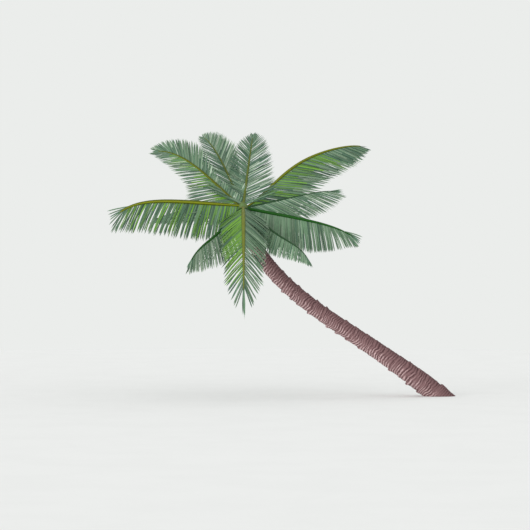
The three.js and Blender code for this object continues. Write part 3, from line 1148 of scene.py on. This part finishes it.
DARK = LeafMix(
    {Shade.DEEP: 0.4, Shade.MID: 0.5, Shade.DUSTY: 0.1},
    {Shade.DEEP: 0.24, Shade.MID: 0.5, Shade.DUSTY: 0.26},
    {Shade.MID: 0.3, Shade.DUSTY: 0.5, Shade.PALE: 0.2},
)

DULL_END = LeafMix(
    {Shade.DEEP: 0.44, Shade.MID: 0.36, Shade.DUSTY: 0.2},
    {Shade.DEEP: 0.2, Shade.MID: 0.3, Shade.DUSTY: 0.4, Shade.PALE: 0.1},
    {Shade.DEEP: 0.1, Shade.MID: 0.14, Shade.DUSTY: 0.46, Shade.PALE: 0.3},
)


@dataclass(frozen=True)
class Place:
    """A leaflet's place in its clump: its pull towards the middle, in leaflet spaces, share of length, and sag."""

    pull: float
    trim: float
    sag: float


@dataclass
class Frond:
    """One feather frond: a tapering rib with two rows of folded leaflets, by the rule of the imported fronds.

    rise and fall are the rib's slopes at its base and tip, and bend says how late it turns from one to the other.
    arch steepens the rib's first half and flattens its second. lift is where it starts above the hub, rib its
    height at the base and end how far the leaflets at its tip reach past it. reach is the leaflets' length at the
    base, in the middle and at the tip, and sweep their angle off the rib. skew opens the left row and shuts the
    right, roll turns the blade about the rib, droop folds both rows down, and sag bends the leaflets' outer ends
    down. right_reach and left_reach are the shares of reach that one row keeps by the crown and beyond, and where
    the one turns to the other.

    clumping is how far the leaflets of a clump are drawn together, clumps_from where that starts in the right row
    and in the left, and clump_sizes how many a clump has. Leaflets beyond dull_from take the dull mix. thinning is
    how much wider apart the leaflets stand towards the tip, base_swell how much broader they are by the rib, and
    blunt_from where along themselves they start to narrow. tip_spread opens the fan past the rib's end, tip_turn
    turns it about the rib, tip_width is its share of leaflet_width, tip_stagger how much farther back each next
    leaflet of it starts, and tip_taper where they narrow.
    """

    name: str
    azimuth: float
    rise: float
    fall: float
    bend: float
    length: float
    lift: float
    rib: float
    end: float
    reach: tuple[float, float, float]
    sweep: tuple[float, float]
    skew: float
    roll: float
    droop: float
    sag: float
    slot: str
    rib_finish: RibFinish
    right_mix: LeafMix
    left_mix: LeafMix
    right_reach: tuple[float, float, float] = (1.0, 1.0, 0.3)
    left_reach: tuple[float, float, float] = (1.0, 1.0, 0.3)
    arch: float = 0.0
    blunt_from: float = 0.68
    clumping: float = 1.0
    clumps_from: tuple[float, float] = (0.1, 0.1)
    clump_sizes: tuple[int, int] = (2, 4)
    dull_from: float = 1.1
    tip_spread: float = 0.05
    tip_turn: float = 0.0
    tip_width: float = 0.76
    tip_stagger: float = 0.0
    tip_taper: float = 0.6
    thinning: float = 0.0
    base_swell: float = 1.0
    rib_swell: float = 1.0
    rib_root: float = 1.0
    rib_taper: float = 1.6
    stalk_share: float = 0.07
    leafy_from: float = 0.02
    full_from: float = 0.28
    fan_from: float = 0.84
    fan_sweep: float = 0.3
    tip_share: float = 0.26
    flatness: float = 0.9
    start_radius: float = 0.04
    leaflets_a_side: int = 76
    leaflet_width: float = 0.041
    tip_leaflet_count: int = 7
    fine_steps: int = 480
    rib_stride: int = 4
    rib_sides: int = 14

    def __post_init__(self) -> None:
        """Sets the frond's own random source."""
        self.source = random.Random(FROND_SEED + round(self.azimuth))

    def frames(self, hub: Vector) -> list[RibFrame]:
        """Returns the rib's frames, evenly spaced along it.

        Args:
            hub: The point that all ribs start round.

        Returns:
            One frame a step, from the base to the tip.
        """
        turn = math.radians(self.azimuth)
        outward = Vector((math.cos(turn), math.sin(turn), 0.0))
        point = hub + outward * self.start_radius + UP * self.lift
        roll = math.radians(self.roll)
        found = []
        for i in range(self.fine_steps + 1):
            share = i / self.fine_steps
            slope = mix(self.rise, self.fall, share**self.bend) + self.arch * math.sin(2.0 * math.pi * share)
            slope = math.radians(slope)
            along = outward * math.cos(slope) + UP * math.sin(slope)
            level = along.cross(UP).normalized()
            above = level.cross(along)
            side = level * math.cos(roll) + above * math.sin(roll)
            normal = above * math.cos(roll) - level * math.sin(roll)
            found.append(RibFrame(share, point.copy(), along, side, normal))
            point += along * (self.length / self.fine_steps)
        return found

    def half_height(self, share: float) -> float:
        """Returns half the rib's height at a share of its length."""
        root = mix(self.rib_root, 1.0, smooth(0.0, 0.4, share))
        return self.rib * self.rib_swell / 2.0 * root * mix(1.0, self.tip_share, share**self.rib_taper)

    def bearing_face(self, share: float) -> tuple[float, float, Vector]:
        """Returns where the rib bears its leaflets: how far to the side, how far up, and the face's way up.

        Args:
            share: The share of the rib's length.

        Returns:
            Both distances in metres, and a flat unit vector.
        """
        fold = math.radians(clamp(self.droop, -30.0, 52.0))
        tall = self.half_height(share)
        return tall * self.flatness * math.cos(fold), -tall * math.sin(fold), Vector((math.sin(fold), math.cos(fold)))

    def build_rib(self, frames: list[RibFrame]) -> bpy.types.Object:
        """Returns the rib: grooved towards its base, rounded below and closed to a point.

        Args:
            frames: The rib's frames.

        Returns:
            The rib, with its own finish.
        """
        builder = MeshBuilder()
        last: list[int] | None = None
        for frame_here in frames[:: self.rib_stride]:
            share = frame_here.share
            tall = self.half_height(share)
            groove = 0.22 * smooth(0.45, 0.0, share)
            clasp = 1.0 + 0.1 * smooth(0.07, 0.0, share)
            ring = []
            for j in range(self.rib_sides):
                angle = 2.0 * math.pi * j / self.rib_sides
                near_ridge = math.exp(-((min(angle, 2.0 * math.pi - angle) / 0.5) ** 2))
                right = tall * self.flatness * clasp * math.sin(angle)
                up = tall * (math.cos(angle) - groove * near_ridge)
                at = frame_here.point + frame_here.side * right + frame_here.normal * up
                around = 1.0 - abs(1.0 - angle / math.pi)
                ring.append(builder.point(at, (right, up, share * self.length), around))
            if last is None:
                builder.face(ring[::-1])
            else:
                builder.band(last, ring)
            last = ring
        end = frames[-1]
        spike = self.end * 0.2
        tip = builder.point(end.point + end.along * spike, (0.0, 0.0, self.length + spike), 0.5)
        for j, corner in enumerate(last):
            builder.face((corner, last[(j + 1) % self.rib_sides], tip))
        return builder.object(self.name + "_rib", [self.rib_finish])

    def places(self) -> list[Place]:
        """Returns each leaflet's place in its clump, from the base outwards.

        Returns:
            One place for each leaflet of a row.
        """
        found: list[Place] = []
        while len(found) < self.leaflets_a_side:
            count = self.source.randint(*self.clump_sizes)
            gap = self.source.uniform(0.5, 1.5)
            trim = self.source.uniform(0.965, 1.02)
            sag = self.source.uniform(0.0, 0.05)
            found += [Place(gap * (i / max(1, count - 1) - 0.5) * (count > 1), trim, sag) for i in range(count)]
        return found[: self.leaflets_a_side]

    def leaflet(
        self,
        builder: MeshBuilder,
        frame_here: RibFrame,
        sign: int,
        place: Place,
        slots: tuple[int, int, int],
        turns: tuple[float, float],
        clear: Callable[[Vector], Vector],
    ) -> None:
        """Adds one folded, arching leaflet.

        Args:
            builder: The frond's leaflet mesh.
            frame_here: Where it stands on the rib.
            sign: 1 for the right row and -1 for the left.
            place: Its place in its clump, its pull in metres.
            slots: Its material slots, from the rib outwards.
            turns: Between which shares of its length the first slot gives way to the second.
            clear: Moves a point off the trunk.
        """
        share = frame_here.share
        grown = clamp((share - self.stalk_share) / (self.full_from - self.stalk_share))
        long = mix(self.reach[0], self.reach[1], grown) + (self.reach[2] - self.reach[1]) * share**3
        long *= place.trim * self.source.uniform(0.985, 1.015)
        fan = mix(1.0, self.fan_sweep, max(0.0, (share - self.fan_from) / (1.0 - self.fan_from)))
        open_angle = math.radians((mix(self.sweep[0], self.sweep[1], share**1.4) - sign * self.skew) * fan)
        open_angle += place.pull / long * min(1.0, 1.5 * math.sin(open_angle)) + self.source.gauss(0.0, 0.005)
        droop = math.radians(self.droop + self.source.gauss(0.0, 2.0))
        right, up, face_up = self.bearing_face(share)
        root = frame_here.point + frame_here.side * (sign * right * 0.6) + frame_here.normal * (up * 0.6)
        reach = frame_here.along * math.cos(open_angle)
        reach += frame_here.side * (sign * math.sin(open_angle) * math.cos(droop))
        reach -= frame_here.normal * (math.sin(open_angle) * math.sin(droop))
        reach.normalize()
        sag = (self.sag + place.sag + self.source.uniform(0.0, 0.015)) * mix(1.0, 0.2, smooth(0.7, 1.0, share))
        hang = (reach - UP * sag).normalized()
        bow = self.source.gauss(0.0, 0.01)
        wide = (frame_here.along - reach * frame_here.along.dot(reach)).normalized()
        lie = frame_here.side * (sign * face_up.x) + frame_here.normal * face_up.y
        lie = (lie - reach * lie.dot(reach) - wide * lie.dot(wide)).normalized()
        twist = Matrix.Rotation(self.source.gauss(0.0, 0.22), 3, reach)
        wide, lie = twist @ wide, twist @ lie
        half = self.leaflet_width / 2.0 * self.source.uniform(0.88, 1.12) * mix(1.0, 0.78, share**2)
        # Lime leaflets are made narrower, so that they lie as thin streaks of painted highlight among the others.
        half *= 0.9 if slots[0] == Shade.LIME.value else 1.04
        fold = self.source.uniform(0.25, 0.5)
        tone = self.source.random()
        seam = self.source.uniform(*turns), self.source.uniform(0.8, 0.96)
        point = root.copy()
        last: list[int] | None = None
        before = 0.0
        offset = self.source.uniform(0.0, 40.0)
        for station in LEAFLET_STATIONS:
            middle = (station + before) / 2.0
            way = reach.lerp(hang, smooth(0.3, 0.95, middle)) + wide * (bow * middle)
            point = point + way.normalized() * (long * (station - before))
            spread = half * mix(0.9, 1.0, smooth(0.0, 0.12, station)) * (1.0 - smooth(self.blunt_from, 1.04, station))
            spread *= mix(self.base_swell, 1.0, smooth(0.1, 0.5, station))
            at = clear(point)
            slot = slots[0] if middle < seam[0] else slots[1] if middle < seam[1] else slots[2]
            along = long * station + offset
            if station == 1.0:
                end = builder.point(at, (0.0, 0.0, along), tone)
                builder.face((last[0], last[1], end), slot)
                builder.face((last[1], last[2], end), slot)
                break
            out, down = wide * (spread * math.cos(fold)), lie * (spread * math.sin(fold))
            row = [
                builder.point(at - out - down, (-spread, 0.0, along), tone),
                builder.point(at, (0.0, 0.0, along), tone),
                builder.point(at + out - down, (spread, 0.0, along), tone),
            ]
            if last:
                builder.band(last, row, slot, closed=False)
            last = row
            before = station

    def build_leaflets(self, frames: list[RibFrame], clear: Callable[[Vector], Vector]) -> bpy.types.Object:
        """Returns both rows of leaflets and those at the rib's end as one mesh.

        Args:
            frames: The rib's frames.
            clear: Moves a point off the trunk.

        Returns:
            The joined leaflets.
        """
        builder = MeshBuilder()
        places = self.places()
        spacing = self.length * (1.0 - self.leafy_from) / self.leaflets_a_side
        rows = (
            (1, self.right_mix, self.right_reach, self.clumps_from[0]),
            (-1, self.left_mix, self.left_reach, self.clumps_from[1]),
        )
        for sign, dealt, reach, clumps_from in rows:
            slots = (-1, -1, -1)
            for i, place in enumerate(places):
                even = (i + 0.5 + self.source.uniform(-0.2, 0.2)) / self.leaflets_a_side
                share = mix(self.leafy_from, 1.0, even + self.thinning * (even**3 - even))
                frame_here = frames[min(self.fine_steps, round(share * self.fine_steps))]
                leaf_mix = DULL_END if share > self.dull_from else dealt
                slots = leaf_mix.deal(self.source, slots[0])
                kept = place.trim * mix(reach[0], reach[1], smooth(reach[2] - 0.15, reach[2] + 0.15, share))
                clumped = spacing * self.clumping * smooth(clumps_from - 0.2, clumps_from + 0.3, share)
                own = Place(place.pull * clumped, kept, place.sag)
                self.leaflet(builder, frame_here, sign, own, slots, leaf_mix.turns, clear)
        self.tip_leaflets(builder, frames[-1])
        return builder.object(self.name + "_leaflets", LEAF_FINISHES)

    def tip_leaflets(self, builder: MeshBuilder, end: RibFrame) -> None:
        """Adds the few leaflets that fan out past the rib's end.

        Args:
            builder: The frond's leaflet mesh.
            end: The rib's last frame.
        """
        turn = math.radians(self.tip_turn)
        fan = end.side * math.cos(turn) + end.normal * math.sin(turn)
        middle = self.tip_leaflet_count // 2
        for i in range(self.tip_leaflet_count):
            open_angle = (i - middle) * self.tip_spread + self.source.gauss(0.0, 0.015)
            way = (end.along * math.cos(open_angle) + fan * math.sin(open_angle)).normalized()
            wide = way.cross(end.normal * math.cos(turn) - end.side * math.sin(turn)).normalized()
            back = abs(i - middle) * self.end * self.tip_stagger
            start = end.point - end.along * back
            long = self.end * self.source.uniform(0.72, 1.0) + back
            half = self.leaflet_width * self.tip_width / 2.0
            last: list[int] | None = None
            tone = self.source.random()
            slot = self.source.choice((Shade.DEEP, Shade.MID)).value
            for station in TIP_STATIONS:
                at = start + way * (long * station) - UP * (self.sag * 0.3 * long * station**2)
                spread = half * (1.0 - smooth(self.tip_taper, 1.0, station))
                if station == 1.0:
                    tip = builder.point(at, (0.0, 0.0, long), tone)
                    builder.face((last[0], last[1], tip), slot)
                    builder.face((last[1], last[2], tip), slot)
                    break
                row = [
                    builder.point(at - wide * spread, (-spread, 0.0, long * station), tone),
                    builder.point(at + end.normal * (spread * 0.4), (0.0, 0.0, long * station), tone),
                    builder.point(at + wide * spread, (spread, 0.0, long * station), tone),
                ]
                if last:
                    builder.band(last, row, slot, closed=False)
                last = row

    def build(self, hub: Vector, trunk: Trunk) -> None:
        """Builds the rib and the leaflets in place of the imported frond.

        Args:
            hub: The point that all ribs start round.
            trunk: The trunk, which the leaflets keep off.
        """
        frames = self.frames(hub)
        install(self.build_rib(frames), self.slot, self.name)
        leaflets = self.build_leaflets(frames, lambda point: trunk.keep_out(point, 0.02))
        install(leaflets, self.slot, self.name)


BRIGHT, DUSTY = "bright_frond", "dusty_frond"
# The ten fronds seen from the front, and then the three that fill the crown's rear.
FRONDS = [
    Frond(
        name="frond_front", azimuth=-89, rise=1, fall=-90, bend=0.95,
        length=3.48, lift=-0.015, rib=0.084, end=0.88,
        reach=(0.98, 0.95, 0.66), sweep=(60, 44), skew=0, roll=0, droop=28, sag=0.15,
        slot=BRIGHT, rib_finish=FRONT_OLIVE, right_mix=LIMY, left_mix=EVEN,
        blunt_from=0.8, clumping=2.0, clumps_from=(0.66, 0.4), clump_sizes=(2, 3), dull_from=0.9, tip_spread=0.014,
        thinning=0.3, rib_swell=1.75, rib_root=0.6, rib_taper=2.0, fan_sweep=0.45, leaflet_width=0.054,
    ),
    Frond(
        name="frond_left", azimuth=194, rise=3.5, fall=-34, bend=5,
        length=3.51, lift=0.045, rib=0.098, end=0.56,
        reach=(1.06, 1.16, 0.76), sweep=(84, 50), skew=-5, roll=0, droop=68, sag=0.2,
        slot=BRIGHT, rib_finish=SIDE_OLIVE, right_mix=STRIPED, left_mix=STRIPED,
        blunt_from=0.84, clumping=1.6, clump_sizes=(2, 5), tip_spread=0.15, tip_turn=90, tip_width=0.86,
        tip_stagger=0.12, tip_taper=0.8, thinning=0.36, base_swell=1.5, rib_swell=1.35, rib_root=0.6, rib_taper=3.0,
        fan_sweep=0.6, tip_share=0.4, leaflets_a_side=80, leaflet_width=0.039,
    ),
    Frond(
        name="frond_upper_right", azimuth=20, rise=32, fall=-4.3, bend=6.7,
        length=4.13, lift=-0.03, rib=0.084, end=0.24,
        reach=(1.66, 1.42, 0.38), sweep=(50, 36), skew=0, roll=0, droop=72, sag=0.05,
        slot=BRIGHT, rib_finish=DARK_OLIVE, right_mix=FADING, left_mix=FADING,
        arch=10.1, blunt_from=0.76, clumping=0.8, clump_sizes=(2, 3), dull_from=0.7, rib_root=0.8, rib_taper=3.5,
        tip_share=0.36, leaflets_a_side=80, leaflet_width=0.048,
    ),
    Frond(
        name="frond_upper_left", azimuth=150, rise=39.6, fall=0, bend=3.6,
        length=3.38, lift=-0.03, rib=0.074, end=0.24,
        reach=(1.18, 0.96, 0.38), sweep=(66, 36), skew=6, roll=42, droop=-8, sag=0.05,
        slot=BRIGHT, rib_finish=DARK_OLIVE, right_mix=DULL, left_mix=FADING,
        right_reach=(0.25, 1.05, 0.46), left_reach=(1.35, 0.88, 0.27), blunt_from=0.74, clumping=0.9,
        clump_sizes=(2, 3), dull_from=0.84, rib_swell=1.3, rib_root=0.8, fan_sweep=0.5, leaflets_a_side=92,
        leaflet_width=0.049,
    ),
    Frond(
        name="frond_top", azimuth=84, rise=41.4, fall=35.2, bend=5.6,
        length=3.16, lift=0.068, rib=0.060, end=0.38,
        reach=(1.08, 0.90, 0.34), sweep=(72, 30), skew=-4, roll=0, droop=-16, sag=0.0,
        slot=DUSTY, rib_finish=THIN_OLIVE, right_mix=SHARP, left_mix=DARK,
        left_reach=(0.5, 0.92, 0.3), clumping=1.5, clump_sizes=(2, 3), tip_spread=0.08, rib_swell=1.5, leafy_from=0.0,
        leaflets_a_side=84, leaflet_width=0.046,
    ),
    Frond(
        name="frond_top_left", azimuth=112, rise=37.2, fall=15, bend=5.9,
        length=3.80, lift=0.042, rib=0.056, end=0.34,
        reach=(1.10, 1.16, 0.50), sweep=(46, 34), skew=8, roll=10, droop=-16, sag=0.0,
        slot=DUSTY, rib_finish=THIN_OLIVE, right_mix=BRUSH, left_mix=DARK,
        right_reach=(0.5, 1.0, 0.35), left_reach=(1.0, 0.6, 0.55), arch=2.4, clumping=0.6, tip_spread=0.08,
        rib_swell=1.6, leaflets_a_side=96, leaflet_width=0.043,
    ),
    Frond(
        name="frond_right", azimuth=-13.5, rise=-11.1, fall=-33, bend=5.6,
        length=3.20, lift=-0.015, rib=0.080, end=0.40,
        reach=(1.12, 1.10, 0.42), sweep=(88, 52), skew=3.5, roll=0, droop=68, sag=0.4,
        slot=DUSTY, rib_finish=VIVID_GREEN, right_mix=EVEN, left_mix=EVEN,
        blunt_from=0.84, clumping=0.9, clump_sizes=(2, 6), tip_spread=0.13, tip_turn=90, tip_width=0.8,
        tip_stagger=0.15, tip_taper=0.8, thinning=0.3, base_swell=1.4, rib_swell=1.3, rib_taper=2.2, fan_from=0.78,
        fan_sweep=0.36, leaflets_a_side=88,
    ),
    Frond(
        name="frond_rear_right", azimuth=-2, rise=12.2, fall=-2, bend=9,
        length=2.52, lift=-0.01, rib=0.058, end=0.40,
        reach=(1.08, 1.14, 0.50), sweep=(42, 40), skew=0, roll=0, droop=68, sag=0.06,
        slot=DUSTY, rib_finish=DARK_GREEN, right_mix=DULL, left_mix=DULL,
        clumping=1.7, clump_sizes=(2, 3), tip_spread=0.07, tip_turn=90, tip_width=0.6, thinning=0.3, fan_from=0.68,
        fan_sweep=0.45, leaflets_a_side=76, leaflet_width=0.032,
    ),
    Frond(
        name="frond_lower_right", azimuth=-50, rise=-24.9, fall=-50, bend=6.6,
        length=3.17, lift=0.0, rib=0.050, end=0.26,
        reach=(0.66, 0.70, 0.22), sweep=(80, 50), skew=0, roll=0, droop=66, sag=0.6,
        slot=DUSTY, rib_finish=DARK_GREEN, right_mix=EVEN, left_mix=DARK,
        arch=-5.5, blunt_from=0.84, clumping=0.4, rib_swell=1.5, fan_sweep=0.4, leaflet_width=0.045,
    ),
    Frond(
        name="frond_lower_left", azimuth=-119, rise=-24.8, fall=-43.7, bend=5.4,
        length=3.20, lift=-0.022, rib=0.056, end=0.34,
        reach=(0.82, 0.94, 0.48), sweep=(76, 40), skew=0, roll=0, droop=66, sag=0.5,
        slot=DUSTY, rib_finish=VIVID_GREEN, right_mix=BRUSH, left_mix=BRUSH,
        arch=-4.7, blunt_from=0.84, clumping=0.5, rib_swell=2.0, fan_sweep=0.4, leaflet_width=0.047,
    ),
    Frond(
        name="frond_back", azimuth=92, rise=16, fall=-46, bend=1.3,
        length=3.25, lift=-0.040, rib=0.070, end=0.42,
        reach=(0.86, 0.90, 0.52), sweep=(62, 28), skew=0, roll=0, droop=34, sag=0.2,
        slot=DUSTY, rib_finish=DARK_GREEN, right_mix=DULL, left_mix=DULL,
    ),
    Frond(
        name="frond_back_right", azimuth=58, rise=2, fall=-34, bend=1.3,
        length=3.08, lift=-0.030, rib=0.062, end=0.42,
        reach=(0.78, 0.84, 0.50), sweep=(68, 28), skew=0, roll=0, droop=48, sag=0.2,
        slot=DUSTY, rib_finish=DARK_GREEN, right_mix=DULL, left_mix=DULL,
    ),
    Frond(
        name="frond_back_left", azimuth=146, rise=4, fall=-16, bend=1.5,
        length=2.95, lift=-0.040, rib=0.062, end=0.40,
        reach=(0.76, 0.80, 0.48), sweep=(68, 28), skew=0, roll=0, droop=44, sag=0.15,
        slot=DUSTY, rib_finish=DARK_GREEN, right_mix=DULL, left_mix=DULL,
    ),
]


# Crown heart


@dataclass
class CrownHeart:
    """The short knob of clasping leaf bases at the trunk's top, with its loose fibres."""

    height: float = 0.25
    widest: float = 0.160
    hub_height: float = 0.10
    slimming: float = 0.84
    sides: int = 48
    rings: int = 22
    sheath_count: float = 5.0
    sheath_wind: float = 1.6
    sheath_lap: float = 0.012
    fibre_count: int = 190
    fibre_seed: int = 77
    fibre_steps: int = 5
    fibre_zone: tuple[float, float] = (0.925, 0.99)
    fibre_lengths: tuple[float, float] = (0.14, 0.42)
    fibre_half_widths: tuple[float, float] = (0.003, 0.011)

    def hub(self, trunk: Trunk) -> Vector:
        """Returns the point that all ribs start round."""
        return trunk.centre(trunk.length) + trunk.direction(trunk.length) * self.hub_height

    def build_bulb(self, trunk: Trunk) -> bpy.types.Object:
        """Returns the knob itself: overlapping sheaths that wind round it and close over its top.

        Args:
            trunk: The trunk that it stands on.

        Returns:
            The knob.
        """
        builder = MeshBuilder()
        foot = trunk.centre(trunk.length)
        along = trunk.direction(trunk.length)
        over = ACROSS.cross(along)
        last: list[int] | None = None
        for i in range(self.rings + 1):
            share = i / self.rings
            swell = math.sin(math.pi * min(0.5, 0.32 + 0.6 * share))
            close = math.sqrt(max(0.0, 1.0 - max(0.0, (share - 0.3) / 0.72) ** 2))
            mean = max(self.widest * swell * close, 0.02) * mix(0.94, self.slimming, smooth(0.0, 0.25, share))
            ring = []
            for j in range(self.sides):
                angle = 2.0 * math.pi * j / self.sides
                wrap = (angle / (2.0 * math.pi) * self.sheath_count + share * self.sheath_wind) % 1.0
                lap = self.sheath_lap * wrap**1.5 * smooth(1.0, 0.9, wrap)
                radius = mean * (1.0 + 0.02 * noise.noise(Vector((angle * 3.0, share * 9.0, 0.0)))) + lap
                at = foot + along * (share * self.height + 0.0004) + over * (radius * math.cos(angle))
                at += ACROSS * (radius * math.sin(angle))
                place = (radius * math.cos(angle), radius * math.sin(angle), share * self.height)
                ring.append(builder.point(at, place, clamp(0.2 + 1.5 * share - 0.2 * (wrap < 0.12))))
            if last is None:
                builder.face(ring[::-1])
            else:
                builder.band(last, ring)
            last = ring
        builder.face(last)
        return builder.object("crown_heart_sheaths", [LEAF_BASE])

    def build_fibres(self, trunk: Trunk) -> bpy.types.Object:
        """Returns the dry fibres and torn sheath points that stand off the trunk's top towards the crown.

        Args:
            trunk: The trunk that they stand off.

        Returns:
            The fibres, as one mesh.
        """
        source = random.Random(self.fibre_seed)
        builder = MeshBuilder()
        for _ in range(self.fibre_count):
            at = trunk.length * source.uniform(*self.fibre_zone)
            long = min(source.uniform(*self.fibre_lengths), trunk.length + 0.02 - at)
            angle = source.uniform(0.0, 2.0 * math.pi)
            lift = source.uniform(0.0, 0.14)
            lean = source.gauss(0.0, 0.12)
            half = source.uniform(*self.fibre_half_widths)
            tone = source.random()
            last: list[int] | None = None
            for k in range(self.fibre_steps + 1):
                share = k / self.fibre_steps
                here = at + long * share
                inside = min(here, trunk.length)
                along = trunk.direction(inside)
                turn = angle + lean * share
                out = ACROSS.cross(along) * math.cos(turn) + ACROSS * math.sin(turn)
                across = along.cross(out)
                radius = trunk.radius(inside) + 0.004 + lift * share**2
                centre = trunk.centre(inside) + along * (here - inside) + out * radius
                spread = half * (1.0 - share**2)
                if k == self.fibre_steps:
                    tip = builder.point(centre, (0.0, 0.0, here), tone)
                    for m in range(3):
                        builder.face((last[m], last[(m + 1) % 3], tip))
                    break
                row = [
                    builder.point(centre - across * spread, (-spread, 0.0, here), tone),
                    builder.point(centre + out * (spread * 0.6), (0.0, spread, here), tone),
                    builder.point(centre + across * spread, (spread, 0.0, here), tone),
                ]
                if last is None:
                    builder.face(row[::-1])
                else:
                    builder.band(last, row)
                last = row
        return builder.object("crown_heart_fibres", [FIBRE])

    def build(self, trunk: Trunk) -> None:
        """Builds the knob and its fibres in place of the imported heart."""
        install(self.build_bulb(trunk), "leaf_bases", "crown_heart")
        install(self.build_fibres(trunk), "leaf_bases", "crown_heart")


# Surroundings


@dataclass
class Studio:
    """Pale floor, even pale surroundings and three broad soft lights, the strongest from the front left."""

    floor_radius: float = 34.0
    floor_middle: tuple[float, float, float] = (-4.5, 0.0, -0.002)
    surround: Colour = screen_colour(235, 237, 235)
    key_from: tuple[float, float, float] = (-0.8, -0.55, 0.12)
    key_strength: float = 1.3
    fill_from: tuple[float, float, float] = (0.1, -1.0, 0.22)
    fill_strength: float = 0.9
    rear_from: tuple[float, float, float] = (0.45, 0.75, 0.5)
    rear_strength: float = 0.35

    def build_floor(self) -> bpy.types.Object:
        """Returns the floor: a broad disc.

        Returns:
            The floor.
        """
        mesh = bpy.data.meshes.new("floor")
        work = bmesh.new()
        bmesh.ops.create_circle(work, cap_ends=True, segments=128, radius=self.floor_radius)
        bmesh.ops.translate(work, verts=work.verts, vec=self.floor_middle)
        work.to_mesh(mesh)
        work.free()
        mesh.materials.append(FLOOR.material())
        floor = bpy.data.objects.new("floor", mesh)
        bpy.context.scene.collection.objects.link(floor)
        return floor

    def build_sun(
        self, name: str, come_from: tuple[float, float, float], strength: float, softness: float, shadows: bool = True
    ) -> None:
        """Adds a broad distant light.

        Args:
            name: The light's name.
            come_from: The way towards it.
            strength: Its strength.
            softness: How wide it looks, in degrees.
            shadows: Whether it casts shadows.
        """
        data = bpy.data.lights.new(name, "SUN")
        data.energy = strength
        data.use_shadow = shadows
        data.angle = math.radians(softness)
        light = bpy.data.objects.new(name, data)
        light.rotation_mode = "QUATERNION"
        light.rotation_quaternion = Vector(come_from).to_track_quat("Z", "Y")
        light.location = Vector(come_from) * 20.0
        bpy.context.scene.collection.objects.link(light)

    def build(self) -> None:
        """Builds the floor, the lights and the surroundings."""
        self.build_floor()
        self.build_sun("key_light", self.key_from, self.key_strength, 40.0)
        self.build_sun("fill_light", self.fill_from, self.fill_strength, 60.0, shadows=False)
        self.build_sun("rear_light", self.rear_from, self.rear_strength, 60.0)
        world = bpy.data.worlds.new("pale surroundings")
        world.use_nodes = True
        world.node_tree.nodes["Background"].inputs["Color"].default_value = self.surround
        bpy.context.scene.world = world
        bpy.context.scene.view_settings.view_transform = "Standard"
        log.info("studio: floor, three soft lights and pale surroundings")


@dataclass
class PhotoCamera:
    """The camera at the picture's viewing angle: level, square on, and far off."""

    middle_column: float = 265.0
    origin_column: float = 439.5
    ground_row: float = 396.0
    distance: float = 60.0

    def build(self) -> None:
        """Adds the camera and makes it the scene's."""
        data = bpy.data.cameras.new("camera")
        data.sensor_width = 36.0
        data.lens = data.sensor_width * self.distance / (PHOTO_PIXELS * METRES_A_PIXEL)
        data.clip_end = 400.0
        camera = bpy.data.objects.new("camera", data)
        camera.location = (
            (self.middle_column - self.origin_column) * METRES_A_PIXEL,
            -self.distance,
            (self.ground_row - self.middle_column) * METRES_A_PIXEL,
        )
        camera.rotation_euler = (math.radians(90.0), 0.0, 0.0)
        bpy.context.scene.collection.objects.link(camera)
        bpy.context.scene.camera = camera
        log.info("camera: %.1f mm lens", data.lens)


def main() -> None:
    """Builds the palm, the studio and the camera."""
    logging.basicConfig(level=logging.INFO, format="%(name)s %(message)s")
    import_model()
    PhotoCamera().build()
    Studio().build()
    trunk = Trunk()
    install(trunk.build(), "bark", "trunk")
    heart = CrownHeart()
    heart.build(trunk)
    for frond in FRONDS:
        frond.build(heart.hub(trunk), trunk)


if __name__ == "__main__":
    main()
